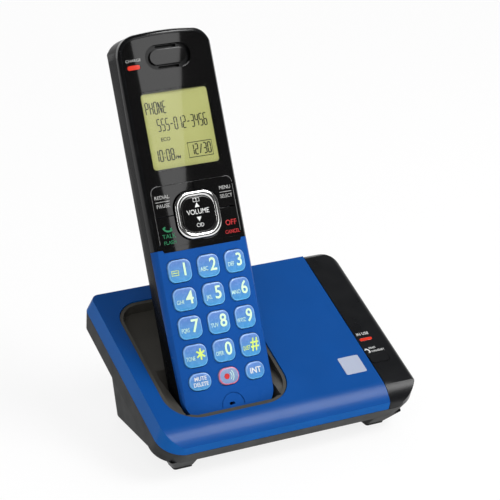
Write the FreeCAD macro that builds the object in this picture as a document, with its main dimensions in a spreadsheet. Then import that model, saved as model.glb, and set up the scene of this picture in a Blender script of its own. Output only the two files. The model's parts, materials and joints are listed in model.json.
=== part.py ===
import FreeCAD, Part
import math
import os
import Sketcher
from FreeCAD import Placement, Rotation, Vector

# Cordless phone: a handset that leans back in a charging base.
# The part's frame has +X to the right as seen from the front, +Y to the rear and +Z up,
# with the origin on the ground at the centre of the whole footprint.
# Two frames tilt about X: the tray frame lies on the base's parting plane (x right,
# y up the slope, z square to it), and the hand frame stands on the handset's lower end
# (x right, y along the handset, z out of its face).

SIZES = {
    # Base, in the tray frame
    "slope": 23.3,
    "lip_height": 13.9,
    "tray_half": 63.5,
    "tray_length": 95.0,
    "top_height": 8.26,
    "band_height": 4.0,
    "shoulder_run": 10.5,
    "side_draft": 1.3,
    "front_round": 12.0,
    "rear_round": 3.5,
    "cap_front_round": 13.0,
    "cap_rear_round": 13.5,
    "cap_width": 16.6,
    "cap_gap": 0.4,
    "cap_band": 2.6,
    "cap_roll": 3.5,
    "wall": 2.0,
    "pan_depth": 9.0,
    "pan_side_in": 0.3,
    "pan_front_in": 3.4,
    "pan_rear_in": 2.0,
    "parting_gap": 0.05,
    # Lower box and feet
    "pad_height": 1.0,
    "box_in": 9.0,
    "box_top_in": 4.5,
    "box_front": 23.0,
    "box_rear": 79.6,
    "box_round": 8.0,
    "box_tall": 40.0,
    "foot_in": 10.2,
    "foot_width": 10.0,
    "foot_front": 13.6,
    "foot_depth": 8.4,
    "foot_top_in": 5.5,
    "foot_top_width": 14.5,
    "foot_top_front": 3.7,
    "foot_top_depth": 10.0,
    "rear_pad_radius": 4.5,
    "rear_pad_half": 43.0,
    "rear_pad_in": 9.0,
    # Cradle well
    "well_width": 59.8,
    "well_front": 11.8,
    "well_rear": 85.5,
    "well_front_round": 15.0,
    "well_rear_round": 12.0,
    "well_gap": 0.3,
    "liner_wall": 1.5,
    "liner_sink": 0.5,
    "bowl_depth": 6.0,
    "bowl_draft": 1.6,
    "shelf_sink": 0.6,
    "ramp_start": 20.0,
    "ramp_end": 42.0,
    "slot_drop": 0.2,
    "rest_half": 14.0,
    "rest_high": 34.3,
    # Handset seat
    "lean": 23.9,
    "seat_x": -25.1,
    "seat_run": 10.85,
    "seat_rise": 3.27,
    "seat_gap": 0.4,
    # Handset form, in the hand frame
    "hand_length": 172.6,
    "face_radius": 80.0,
    "face_half": 21.2,
    "section_half": 23.2,
    "side_top": 8.5,
    "side_low": 10.0,
    "roll_big": 22.0,
    "roll_small": 9.0,
    "edge_roll": 7.0,
    "hand_back": 27.0,
    "low_back": 25.2,
    "heel_back": 15.0,
    "heel_length": 20.0,
    "crown_back": 17.0,
    "crown_length": 23.0,
    "crown_blend": 1.5,
    "half_bottom": 22.0,
    "half_top": 22.4,
    "side_bow": 2850.0,
    "round_bottom": 13.0,
    "round_top": 9.0,
    "top_bow": 150.0,
    "hand_parting": 6.5,
    "hand_wall": 2.0,
    "upper_wall": 3.4,
    "back_wall": 3.8,
    "split_height": 76.6,
    "split_shoulder": 77.9,
    "split_half": 18.3,
    "seam": 0.1,
    # Glossy faceplate
    "plate_half": 20.9,
    "plate_margin": 2.2,
    "plate_round": 7.6,
    "plate_thick": 1.8,
    "plate_gap": 0.15,
    # Display
    "screen_height": 129.5,
    "screen_half": 16.6,
    "screen_tall": 35.0,
    "screen_round": 1.5,
    "lens_ledge": 0.65,
    "lens_thick": 1.0,
    "glass_top": 2.75,
    "glass_thick": 1.8,
    "glass_wide": 31.4,
    "glass_tall": 33.4,
    "lamp_box_wide": 33.6,
    "lamp_box_tall": 36.2,
    # Earpiece
    "ear_drop": 11.3,
    "ear_x": -0.4,
    "ear_wide": 21.7,
    "ear_tall": 11.0,
    "bar_wide": 17.4,
    "bar_tall": 6.8,
    "bar_sink": 0.25,
    "sound_out": 4.5,
    "sound_wide": 10.0,
    "sound_tall": 1.2,
    "speaker_radius": 8.5,
    "speaker_top": 4.05,
    # Charge light
    "led_x": -16.8,
    "led_drop": 14.3,
    "led_wide": 5.5,
    "led_tall": 2.0,
    "led_round": 0.9,
    # Keys
    "key_wide": 10.3,
    "key_tall": 10.0,
    "key_round": 3.0,
    "key_column": 13.32,
    "key_row": 12.5,
    "key_first": 68.0,
    "key_last": 19.1,
    "small_wide": 9.8,
    "small_tall": 7.6,
    "small_round": 3.5,
    "key_proud": 0.9,
    "key_foot": 6.6,
    "key_edge": 0.7,
    "key_blend": 0.8,
    "key_gap": 0.25,
    "key_press": 0.6,
    # Control panel
    "panel_height": 92.2,
    "panel_wide": 39.0,
    "panel_tall": 27.0,
    "panel_round": 3.0,
    "panel_gap": 0.15,
    "soft_seam": 0.4,
    "soft_sink": 0.1,
    "soft_flange": 18.6,
    "soft_press": 0.5,
    "nav_height": 91.0,
    "nav_x": -0.3,
    "nav_hole": 22.0,
    "nav_ring": 20.9,
    "nav_wide": 16.0,
    "nav_round": 7.0,
    "nav_ring_top": 0.9,
    "nav_ring_foot": 1.5,
    "nav_top": 0.5,
    "nav_foot": 6.4,
    "nav_blend": 0.6,
    "pivot_radius": 0.8,
    "pivot_half": 6.0,
    "stem_radius": 2.0,
    "stem_hole": 2.35,
    "stem_head": 2.5,
    "stem_tip": 11.15,
    # Inside the handset
    "mat_half": 18.4,
    "mat_low": 13.8,
    "mat_high": 106.0,
    "mat_thick": 1.3,
    "board_thick": 1.2,
    "board_half": 19.2,
    "board_low": 4.6,
    "board_margin": 4.1,
    "board_round": 11.0,
    "board_round_top": 9.0,
    "stack_gap": 0.1,
    "mic_height": 7.1,
    "mic_x": -0.5,
    "mic_wide": 2.6,
    "mic_tall": 1.3,
    "mic_radius": 2.6,
    "groove_half": 5.6,
    "groove_wide": 0.5,
    "groove_deep": 0.4,
    "cell_radius": 5.15,
    "cell_length": 44.5,
    "tub_half": 10.9,
    "tub_low": 48.4,
    "tub_high": 98.2,
    "tub_top": 13.6,
    "tub_wall": 1.2,
    "door_half": 15.0,
    "door_low": 46.2,
    "door_high": 112.0,
    "door_floor": 25.35,
    "door_gap": 0.25,
    "door_slide": 8.0,
    "door_round": 3.0,
    "grip_half": 8.0,
    "hook_x": 12.8,
    "hook_wide": 2.0,
    "hook_stem": 1.0,
    "hook_long": 4.0,
    "hook_low": 60.0,
    "hook_high": 88.0,
    "hook_lip": 24.4,
    "hook_roof": 23.0,
    "loud_height": 134.0,
    "loud_radius": 10.0,
    "loud_thick": 5.5,
    "grille_slots": 5,
    "grille_wide": 13.0,
    "grille_slot": 1.4,
    "grille_pitch": 2.8,
    # Handset screws
    "hscrew_radius": 0.8,
    "hscrew_head": 1.7,
    "hscrew_head_tall": 1.2,
    "hscrew_up_x": 12.5,
    "hscrew_up_y": 108.8,
    "hscrew_low_x": 16.5,
    "hscrew_low_y": 11.0,
    "hscrew_tip": 4.3,
    "hscrew_seat": 17.0,
    "hboss_radius": 2.1,
    "hpost_radius": 3.1,
    "boss_low": 12.0,
    # Charge contacts
    "contact_x": 7.0,
    "contact_along": 9.6,
    "plate_wide": 5.0,
    "plate_long": 8.0,
    "plate_deep": 0.8,
    "pin_wide": 3.4,
    "pin_long": 4.6,
    "pin_tall": 6.0,
    "pin_gap": 0.3,
    "pin_flange": 1.2,
    "pin_shoulder": 2.15,
    # Base inside
    "screw_radius": 1.25,
    "screw_head": 2.6,
    "screw_head_tall": 1.6,
    "screw_seat": 4.5,
    "screw_reach": 8.0,
    "screw_clear": 0.1,
    "post_radius": 3.8,
    "boss_radius": 2.9,
    "post_tip": 2.0,
    "bscrew_left": 44.0,
    "bscrew_right": 36.0,
    "bscrew_rear": 88.6,
    "bscrew_front_x": 24.0,
    "bscrew_front_y": 7.6,
    "bscrew_cap_x": 54.5,
    "bscrew_cap_y": 86.8,
    "hanger_left": 14.0,
    "hanger_right": 42.0,
    "hanger_front": 20.0,
    "hanger_rear": 76.0,
    "base_board_x": 7.0,
    "base_board_in": 4.3,
    "base_board_front": 14.0,
    "base_board_rear": 82.4,
    "base_board_top": 1.4,
    "base_board_thick": 1.6,
    "switch_wide": 5.6,
    "switch_top": 2.0,
    "button_in": 11.3,
    "button_run": 23.6,
    "button_wide": 9.4,
    "button_deep": 5.0,
    "button_stem": 3.0,
    "button_press": 0.5,
    "button_gap": 0.2,
    "button_flange": 0.9,
    "lamp_in": 12.0,
    "lamp_run": 35.9,
    "lamp_wide": 6.5,
    "lamp_deep": 1.7,
    "label_in": 9.3,
    "label_run": 22.7,
    "label_wide": 10.4,
    "label_thick": 0.2,
    # Jacks
    "line_in": 34.5,
    "line_wide": 13.4,
    "line_tall": 11.6,
    "line_deep": 14.0,
    "line_mouth_wide": 9.9,
    "line_mouth_tall": 6.8,
    "line_mouth_deep": 11.0,
    "latch_wide": 6.0,
    "latch_tall": 1.6,
    "power_in": 14.5,
    "power_wide": 9.0,
    "power_tall": 11.0,
    "power_deep": 13.0,
    "power_bore": 2.85,
    "power_pin": 1.0,
    "power_mouth_deep": 9.5,
    "jack_gap": 0.2,
    "jack_board_low": 3.2,
    "jack_board_thick": 1.6,
    "jack_board_deep": 30.0,
    "jack_board_side": 4.0,
}

doc = FreeCAD.newDocument("cordless_phone")
sheet = doc.addObject("Spreadsheet::Sheet", "Sizes")
for row, (alias, number) in enumerate(SIZES.items(), start=1):
    sheet.set(f"B{row}", str(number))
    sheet.setAlias(f"B{row}", alias)
doc.recompute()


class Size:
    """A length or angle: its number, and the sheet expression that gives it."""

    def __init__(self, value, text):
        self.value = value
        self.text = text

    def __add__(self, other):
        other = as_size(other)
        return Size(self.value + other.value, f"({self.text} + {other.text})")

    def __sub__(self, other):
        other = as_size(other)
        return Size(self.value - other.value, f"({self.text} - {other.text})")

    def __mul__(self, other):
        other = as_size(other)
        return Size(self.value * other.value, f"({self.text} * {other.text})")

    def __truediv__(self, other):
        other = as_size(other)
        return Size(self.value / other.value, f"({self.text} / {other.text})")

    def __radd__(self, other):
        return as_size(other) + self

    def __rsub__(self, other):
        return as_size(other) - self

    def __rmul__(self, other):
        return as_size(other) * self

    def __neg__(self):
        return Size(-self.value, f"(0 - {self.text})")


def as_size(number):
    """The number as a Size; a plain number stands for itself."""
    return number if isinstance(number, Size) else Size(float(number), repr(float(number)))


def root(size):
    """The square root of a Size."""
    return Size(math.sqrt(size.value), f"sqrt({size.text})")


def cos(angle):
    """The cosine of a Size in degrees."""
    return Size(math.cos(math.radians(angle.value)), f"cos({angle.text})")


def sin(angle):
    """The sine of a Size in degrees."""
    return Size(math.sin(math.radians(angle.value)), f"sin({angle.text})")


def slant(rise, run):
    """The angle in degrees whose tangent is rise over run."""
    angle = math.degrees(math.atan(rise.value / run.value))
    return Size(angle, f"(atan({rise.text} / {run.text}) / 1deg)")


class Sheet:
    """The sheet's cells by alias."""

    def __getattr__(self, alias):
        return Size(float(SIZES[alias]), f"Sizes.{alias}")


s = Sheet()
FAR = 60.0
PLANES = {
    "xy": (Rotation(), "z", Vector(0, 0, 1)),
    "xz": (Rotation(Vector(1, 0, 0), 90), "y", Vector(0, 1, 0)),
    "yz": (Rotation(Vector(1, 1, 1), 120), "x", Vector(1, 0, 0)),
}

# The two tilted frames, worked out from the slope, the lean and the seat.
seat_y = s.seat_run * cos(s.slope) - s.seat_rise * sin(s.slope)
seat_z = s.seat_run * sin(s.slope) + s.seat_rise * cos(s.slope)
crown = s.hand_length - s.crown_length
reach = crown * sin(s.lean) + s.hand_back * cos(s.lean)
front_edge = s.band_height * sin(s.slope)
tray_y = (front_edge - seat_y - reach) / 2.0
TRAY = (s.slope, as_size(0.0), tray_y, s.lip_height)
HAND = (90.0 - s.lean, s.seat_x, tray_y + seat_y, s.lip_height + seat_z)
WORLD = (as_size(0.0), as_size(0.0), tray_y, as_size(0.0))

# Places that keep to the end or the side that the piece sits at.
plate_top = s.hand_length - s.plate_margin
ear_height = s.hand_length - s.ear_drop
led_height = s.hand_length - s.led_drop
board_high = s.hand_length - s.board_margin
cap_edge = s.tray_half - s.cap_width
box_half = s.tray_half - s.box_in
box_top_half = s.tray_half - s.box_top_in
foot_outer = s.tray_half - s.foot_in
foot_top_outer = s.tray_half - s.foot_top_in
button_x = s.tray_half - s.button_in
lamp_x = s.tray_half - s.lamp_in
label_x = cap_edge - s.label_in
line_x = box_half - s.line_in
power_x = box_half - s.power_in
base_board_right = s.tray_half - s.base_board_in

nodes = {}


def bind(item, name, size):
    """Ties one property to the sheet."""
    item.setExpression(name, as_size(size).text)


def put(item, x=0.0, y=0.0, z=0.0):
    """Moves an item, with each coordinate tied to the sheet."""
    for axis, size in (("x", x), ("y", y), ("z", z)):
        bind(item, f"Placement.Base.{axis}", size)


def tilt(item, frame):
    """Places an item in the tray, hand or world frame."""
    angle, x, y, z = frame
    item.Placement = Placement(Vector(), Rotation(Vector(1, 0, 0), 1.0))
    bind(item, "Placement.Rotation.Angle", angle)
    put(item, x, y, z)


def node(item, label, frame):
    """Names a finished sub-part and puts it in its frame."""
    item.Label = label
    tilt(item, frame)
    nodes[label] = item
    return item


def add(kind, name="tool"):
    return doc.addObject(kind, name)


def arc_between(start, end, radius):
    """The short arc from start to end; a radius over 0 turns left."""
    chord = end - start
    middle = (start + end) * 0.5
    left = Vector(-chord.y, chord.x, 0).normalize()
    height = math.sqrt(max(radius * radius - chord.Length ** 2 / 4.0, 0.0))
    centre = middle + left * (height if radius > 0 else -height)
    circle = Part.Circle(centre, Vector(0, 0, 1), abs(radius))
    first, last = (start, end) if radius > 0 else (end, start)
    return Part.ArcOfCircle(circle, circle.parameter(first), circle.parameter(last))


def draw(sketch, path):
    """Draws a closed outline in a sketch and ties each corner to the sheet.

    The path lists (x, y) or (x, y, radius): the corner, and the radius of the arc
    that comes to it from the corner before, over 0 where that arc turns left.
    """
    corners = [(as_size(p[0]), as_size(p[1]), p[2] if len(p) > 2 else None) for p in path]
    starts = []
    for index, (x, y, _) in enumerate(corners):
        end_x, end_y, bend = corners[(index + 1) % len(corners)]
        start = Vector(x.value, y.value, 0)
        end = Vector(end_x.value, end_y.value, 0)
        if bend is None:
            edge = sketch.addGeometry(Part.LineSegment(start, end))
            starts.append((edge, 1, 2))
            continue
        edge = sketch.addGeometry(arc_between(start, end, bend.value))
        starts.append((edge, 1, 2) if bend.value > 0 else (edge, 2, 1))
        spot = sketch.addConstraint(Sketcher.Constraint("Radius", edge, abs(bend.value)))
        sketch.renameConstraint(spot, f"bend{index}")
        sketch.setExpression(f"Constraints.bend{index}", f"abs({bend.text})")
    for index, (edge, first, last) in enumerate(starts):
        after, after_first, _ = starts[(index + 1) % len(starts)]
        sketch.addConstraint(Sketcher.Constraint("Coincident", edge, last, after, after_first))
        for kind, size in (("DistanceX", corners[index][0]), ("DistanceY", corners[index][1])):
            spot = sketch.addConstraint(Sketcher.Constraint(kind, edge, first, size.value))
            sketch.renameConstraint(spot, f"{kind}{index}")
            sketch.setExpression(f"Constraints.{kind}{index}", size.text)


def rounded(left, right, low, high, radii):
    """A rectangle whose corners are rounded, as a path.

    The radii go round from the right low corner: right low, right high, left high, left low.
    """
    right_low, right_high, left_high, left_low = [as_size(r) for r in radii]
    left, right, low, high = [as_size(v) for v in (left, right, low, high)]
    path = [(right, low + right_low), (right, high - right_high)]
    if right_high.value > 0:
        path.append((right - right_high, high, right_high))
    path.append((left + left_high, high))
    if left_high.value > 0:
        path.append((left, high - left_high, left_high))
    path.append((left, low + left_low))
    if left_low.value > 0:
        path.append((left + left_low, low, left_low))
    if right_low.value > 0:
        path.append((right - right_low, low))
        path[0] = (right, low + right_low, right_low)
    return path


def centred(x, y, wide, tall, radius):
    """A rounded rectangle about a centre, as a path."""
    x, y, wide, tall = [as_size(v) for v in (x, y, wide, tall)]
    half_wide = wide / 2.0
    half_tall = tall / 2.0
    return rounded(x - half_wide, x + half_wide, y - half_tall, y + half_tall, (radius,) * 4)


def flat_sketch(path, plane="xy", level=0.0):
    """A free sketch on a plane of the local frame, moved along the plane's normal."""
    sketch = add("Sketcher::SketchObject", "outline")
    turn, axis, _ = PLANES[plane]
    sketch.Placement = Placement(Vector(), turn)
    bind(sketch, f"Placement.Base.{axis}", level)
    draw(sketch, path)
    return sketch


def prism(path, low, high, plane="xy"):
    """The outline drawn out from low to high along the plane's normal."""
    body = add("Part::Extrusion", "prism")
    body.Base = flat_sketch(path, plane, low)
    body.DirMode = "Custom"
    body.Dir = PLANES[plane][2]
    body.Solid = True
    bind(body, "LengthFwd", as_size(high) - low)
    return body


def slab(left, right, low, high, bottom, top):
    """A plain block between six planes."""
    block = add("Part::Box", "slab")
    bind(block, "Length", as_size(right) - left)
    bind(block, "Width", as_size(high) - low)
    bind(block, "Height", as_size(top) - bottom)
    put(block, left, low, bottom)
    return block


def rod(x, y, bottom, top, radius, along="z"):
    """A round bar along z, or along y when bottom and top are y and y is z."""
    bar = add("Part::Cylinder", "rod")
    bind(bar, "Radius", radius)
    bind(bar, "Height", as_size(top) - bottom)
    if along == "z":
        put(bar, x, y, bottom)
    else:
        bar.Placement = Placement(Vector(), Rotation(Vector(1, 0, 0), -90))
        put(bar, x, bottom, y)
    return bar


def fuse(*items):
    body = add("Part::MultiFuse", "fuse")
    body.Shapes = list(items)
    return body


def common(*items):
    body = add("Part::MultiCommon", "common")
    body.Shapes = list(items)
    return body


def cut(base, *tools):
    body = add("Part::Cut", "cut")
    body.Base = base
    body.Tool = tools[0] if len(tools) == 1 else fuse(*tools)
    return body


def loft(first, second):
    body = add("Part::Loft", "loft")
    body.Sections = [first, second]
    body.Solid = True
    body.Ruled = True
    return body


def blend_edges(item, radius, test):
    """Rounds the edges of an item that the test picks."""
    doc.recompute()
    body = add("Part::Fillet", "rounded")
    body.Base = item
    picked = [i for i, edge in enumerate(item.Shape.Edges, start=1) if test(edge.BoundBox)]
    body.Edges = [(i, radius.value, radius.value) for i in picked]
    return body


class Solid:
    """A PartDesign body that is padded and pocketed from outlines, in one frame."""

    PLANE_NAMES = {"xy": "XY_Plane", "xz": "XZ_Plane", "yz": "YZ_Plane"}
    # An XZ plane of a body looks along -Y, so features on it run the other way.
    FLIPPED = ("xz",)

    def __init__(self, label, frame):
        self.body = add("PartDesign::Body", label)
        node(self.body, label, frame)

    def sketch(self, path, plane, level):
        sketch = self.body.newObject("Sketcher::SketchObject", "outline")
        role = self.PLANE_NAMES[plane]
        origin = [f for f in self.body.Origin.OriginFeatures if f.Role == role][0]
        sketch.AttachmentSupport = (origin, [""])
        sketch.MapMode = "FlatFace"
        level = -as_size(level) if plane in self.FLIPPED else as_size(level)
        bind(sketch, "AttachmentOffset.Base.z", level)
        draw(sketch, path)
        return sketch

    def pad(self, path, low, high, plane="xy"):
        feature = self.body.newObject("PartDesign::Pad", "pad")
        feature.Profile = self.sketch(path, plane, low)
        feature.Reversed = plane in self.FLIPPED
        bind(feature, "Length", as_size(high) - low)
        return feature

    def pocket(self, path, low, high, plane="xy"):
        feature = self.body.newObject("PartDesign::Pocket", "pocket")
        feature.Profile = self.sketch(path, plane, low)
        feature.Reversed = plane not in self.FLIPPED
        bind(feature, "Length", as_size(high) - low)
        return feature


def disc(x, y, radius):
    """A circle as a path of two half turns, a little short of a full one each."""
    x, y, radius = as_size(x), as_size(y), as_size(radius)
    return [(x + radius, y, radius), (x, y + radius, radius), (x - radius, y, radius),
            (x, y - radius, radius)]


def hand_form(side_in, front_in, back_in):
    """The handset's outer form, or one that is set in from it: three drawn-out
    outlines (across, along and from the side) and what they share."""
    half = s.section_half - side_in
    face_half = s.face_half - side_in
    face = s.face_radius - front_in
    face_drop = s.face_radius - root(face * face - face_half * face_half)
    big = s.roll_big - side_in
    small = s.roll_small - side_in
    back = s.hand_back - side_in
    sine = (back - s.side_low - small) / (big - small)
    cosine = root(1.0 - sine * sine)
    knee_x = half - big + big * cosine
    knee_z = -(s.side_low + big * sine)
    flat_x = half - big + (big - small) * cosine
    roll = s.edge_roll - front_in * 0.5
    section = [
        (-face_half, -face_drop, face),
        (-half, -s.side_top, roll),
        (-half, -s.side_low),
        (-knee_x, knee_z, big),
        (-flat_x, -back, small),
        (flat_x, -back),
        (knee_x, knee_z, small),
        (half, -s.side_low, big),
        (half, -s.side_top),
        (face_half, -face_drop, roll),
    ]
    low = s.half_bottom - side_in
    high = s.half_top - side_in
    round_low = s.round_bottom - side_in
    round_high = s.round_top - side_in
    length = s.hand_length - side_in
    outline = [
        (low, s.round_bottom, round_low),
        (high, s.hand_length - s.round_top, s.side_bow),
        (high - round_high, length, round_high),
        (-(high - round_high), length, s.top_bow),
        (-high, s.hand_length - s.round_top, round_high),
        (-low, s.round_bottom, s.side_bow),
        (-(low - round_low), side_in, round_low),
        (low - round_low, side_in),
    ]
    heel = -(s.heel_back - back_in)
    low_back = -(s.low_back - (back_in if side_in.value == 0 else s.hand_wall))
    high_back = -(s.hand_back - back_in)
    crown_back = -(s.crown_back - back_in)
    beyond = 5.0
    side = [
        (-5.0, 5.0),
        (-5.0, heel),
        (0.0, heel),
        (s.heel_length, low_back),
        (s.door_low, low_back),
        (s.door_low + 6.0, high_back),
        (s.hand_length - s.crown_length, high_back),
        (s.hand_length + beyond, crown_back + beyond * (s.hand_back - s.crown_back) / s.crown_length),
        (s.hand_length + beyond, 5.0),
    ]
    return common(
        prism(section, -2.0, s.hand_length + 2.0, "xz"),
        prism(outline, -FAR, 8.0),
        prism(side, -FAR, FAR, "yz"),
    )


def write_all():
    """Checks every object and writes one STEP file a node."""
    doc.recompute()
    for item in doc.Objects:
        if "Invalid" in item.State or "Error" in item.State:
            raise RuntimeError(f"{item.Name} {item.Label} is {item.State}")
    os.makedirs("parts", exist_ok=True)
    for label, item in nodes.items():
        shape = item.Shape
        if shape.isNull() or not shape.isValid() or not shape.Solids:
            raise RuntimeError(f"{label} has no valid solid")
        print(f"{label}: {len(shape.Solids)} solid(s), {shape.Volume:.1f} mm3")
        shape.exportStep(f"parts/{label}.step")


HEEL = slant(s.low_back - s.heel_back, s.heel_length)
SEAT = (90.0 - s.lean - s.slope, s.seat_x, s.seat_run, s.seat_rise)
SLOPE = (s.slope, as_size(0.0), as_size(0.0), s.lip_height)


def heel_block(left, right, low, high, bottom, top):
    """A block on the handset's slanted heel face: low and high run up that face,
    bottom and top run into the handset."""
    low, high, bottom, top = [as_size(v) for v in (low, high, bottom, top)]
    block = add("Part::Box", "block")
    bind(block, "Length", as_size(right) - left)
    bind(block, "Width", high - low)
    bind(block, "Height", top - bottom)
    y = low * cos(HEEL) + bottom * sin(HEEL)
    z = bottom * cos(HEEL) - low * sin(HEEL) - s.heel_back
    tilt(block, (-HEEL, left, y, z))
    return block


def face_bar(below):
    """The round bar whose top is the handset's face, or lower than it by a depth."""
    return rod(0.0, -s.face_radius, -10.0, s.hand_length + 10.0, s.face_radius - below, "y")


def screw(x, y, seat, tip, radius, head_radius, head_tall):
    """A screw that is driven upwards, with a cross recess under its head."""
    low = seat - head_tall
    deep = low + head_tall * 0.6
    arm = head_radius * 0.6
    thin = head_radius * 0.14
    return cut(
        fuse(rod(x, y, seat, tip, radius), rod(x, y, low, seat, head_radius)),
        slab(x - arm, x + arm, y - thin, y + thin, low - 1.0, deep),
        slab(x - thin, x + thin, y - arm, y + arm, low - 1.0, deep),
    )


# Handset forms
zero = as_size(0.0)
end_edges = s.hand_length.value - 5.0
face_low = -3.2
back_high = -14.0
form = blend_edges(hand_form(zero, zero, zero), s.crown_blend,
                   lambda box: box.YMin > end_edges and box.XLength > 3.0
                   and (box.ZMin > face_low or box.ZMax < back_high))
hollow = hand_form(s.hand_wall, s.upper_wall, s.back_wall)
mat_top = s.key_foot + s.key_press + s.stack_gap
board_top = mat_top + s.mat_thick + s.stack_gap


def split_zone(shift):
    """The lower half of the handset's face, up to the line between blue and black."""
    shoulder = s.split_shoulder + shift
    height = s.split_height + shift
    side = s.split_half + s.key_edge
    return [
        (-FAR, -FAR), (FAR, -FAR), (FAR, shoulder), (side, shoulder),
        (s.split_half, height), (-s.split_half, height), (-side, shoulder), (-FAR, shoulder),
    ]


def hand_boss(x, y):
    """A screw boss that hangs from the front housing."""
    return common(rod(x, y, -s.boss_low, 0.0, s.hboss_radius), face_bar(s.plate_thick + 0.2))


screw_spots = {
    "lower_faceplate": [(s.hscrew_low_x, s.hscrew_low_y), (-s.hscrew_low_x, s.hscrew_low_y)],
    "upper_front_housing": [(s.hscrew_up_x, s.hscrew_up_y), (-s.hscrew_up_x, s.hscrew_up_y)],
}
all_spots = screw_spots["lower_faceplate"] + screw_spots["upper_front_housing"]


def boss_bores(label):
    spots = screw_spots[label]
    return [rod(x, y, -FAR, -s.hscrew_tip + 0.4, s.hscrew_radius + s.screw_clear)
            for x, y in spots]


# Number keys and the row below them, by name: column, row height, width, depth, corner
KEYS = {}
names = ("1", "2", "3", "4", "5", "6", "7", "8", "9", "star", "0", "hash")
for index, name in enumerate(names):
    column = s.key_column * float(index % 3 - 1)
    height = s.key_first - s.key_row * float(index // 3)
    KEYS[f"key_{name}"] = (column, height, s.key_wide, s.key_tall, s.key_round)
for index, name in enumerate(("mute", "speaker", "intercom")):
    column = s.key_column * float(index - 1)
    KEYS[f"key_{name}"] = (column, s.key_last, s.small_wide, s.small_tall, s.small_round)


def key_outline(name, grow):
    column, height, wide, tall, corner = KEYS[name]
    extra = grow * 2.0
    return centred(column, height, wide + extra, tall + extra, corner + grow)


def stadium(x, y, wide, tall):
    """A long hole with round ends, as a path."""
    x, y, wide, tall = [as_size(v) for v in (x, y, wide, tall)]
    radius = tall / 2.0
    reach_x = wide / 2.0 - radius
    bend = radius * 1.000001
    return [(x + reach_x, y - radius), (x + reach_x, y + radius, bend),
            (x - reach_x, y + radius), (x - reach_x, y - radius, bend)]


key_holes = [prism(key_outline(name, s.key_gap), -FAR, 5.0) for name in KEYS]

# Lower faceplate, blue: the keypad's half of the face
mic_hole = prism(stadium(s.mic_x, s.mic_height, s.mic_wide, s.mic_tall), -FAR, 5.0)
groove_low = s.mic_height - 1.2
groove_high = s.mic_height + 4.9
groove_half = s.groove_half
groove_out = [
    (groove_half, groove_low), (groove_half, groove_high - groove_half),
    (-groove_half, groove_high - groove_half, groove_half + 0.0001), (-groove_half, groove_low),
]
thin = s.groove_wide
groove_in = [
    (groove_half - thin, groove_low - 1.0), (groove_half - thin, groove_high - groove_half),
    (-(groove_half - thin), groove_high - groove_half, groove_half - thin + 0.0001),
    (-(groove_half - thin), groove_low - 1.0),
]
groove = cut(prism(groove_out, -8.0, 5.0), prism(groove_in, -9.0, 6.0), face_bar(s.groove_deep))
front_low = common(form, prism(split_zone(zero), -s.hand_parting, 8.0))
front_low = fuse(cut(front_low, hollow),
                 *[hand_boss(x, y) for x, y in screw_spots["lower_faceplate"]])
node(cut(front_low, groove, mic_hole, *key_holes, *boss_bores("lower_faceplate")),
     "lower_faceplate", HAND)


# Upper front housing, black, with the recess for the glossy faceplate
def plate_outline(grow, low_shift):
    half = s.plate_half + grow
    top = plate_top + grow
    corner = s.plate_round + grow
    side = s.split_half + s.key_edge
    shoulder = s.split_shoulder + low_shift
    height = s.split_height + low_shift
    return [
        (half, top - corner), (half - corner, top, corner), (-(half - corner), top, s.top_bow),
        (-half, top - corner, corner), (-half, shoulder), (-side, shoulder),
        (-s.split_half, height), (s.split_half, height), (side, shoulder), (half, shoulder),
    ]


def screen_outline(grow):
    extra = grow * 2.0
    return centred(0.0, s.screen_height, s.screen_half * 2.0 + extra, s.screen_tall + extra,
                   s.screen_round)


def panel_outline(grow):
    extra = grow * 2.0
    return centred(0.0, s.panel_height, s.panel_wide + extra, s.panel_tall + extra,
                   s.panel_round + grow)


def led_outline(grow):
    return centred(s.led_x, led_height, s.led_wide + grow * 2.0, s.led_tall + grow * 2.0,
                   s.led_round + grow)


through = (-FAR, 8.0)
panel_hole = prism(panel_outline(zero), *through)
led_hole = prism(led_outline(s.plate_gap), *through)
recess = cut(prism(plate_outline(s.plate_gap, -8.0), -8.0, 8.0), face_bar(s.plate_thick))
front_high = cut(common(form, prism([(-FAR, -FAR), (FAR, -FAR), (FAR, FAR * 4.0),
                                     (-FAR, FAR * 4.0)], -s.hand_parting, 8.0)),
                 hollow, prism(split_zone(s.seam), -FAR, FAR))
front_high = fuse(front_high, *[hand_boss(x, y) for x, y in screw_spots["upper_front_housing"]])
sound_slots = [prism(stadium(s.ear_x, ear_height + side * s.sound_out, s.sound_wide,
                             s.sound_tall), *through) for side in (1.0, -1.0)]
screen_hole = prism(centred(0.0, s.screen_height, s.lamp_box_wide + 0.6, s.lamp_box_tall + 0.6,
                            s.screen_round), *through)
node(cut(front_high, recess, panel_hole, led_hole, screen_hole, *sound_slots,
         *boss_bores("upper_front_housing")), "upper_front_housing", HAND)

# Faceplate, glossy black, let into the upper housing
window_hole = prism(screen_outline(-s.lens_ledge), *through)
lens_seat = cut(prism(screen_outline(s.seam), *through), face_bar(s.lens_thick + 0.05))
ear_hole = prism(stadium(s.ear_x, ear_height, s.ear_wide, s.ear_tall), *through)
plate = common(prism(plate_outline(zero, s.seam), -8.0, 8.0), face_bar(0.0))
node(cut(plate, face_bar(s.plate_thick - 0.02), window_hole, lens_seat, ear_hole, led_hole,
         panel_hole), "faceplate", HAND)

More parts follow.
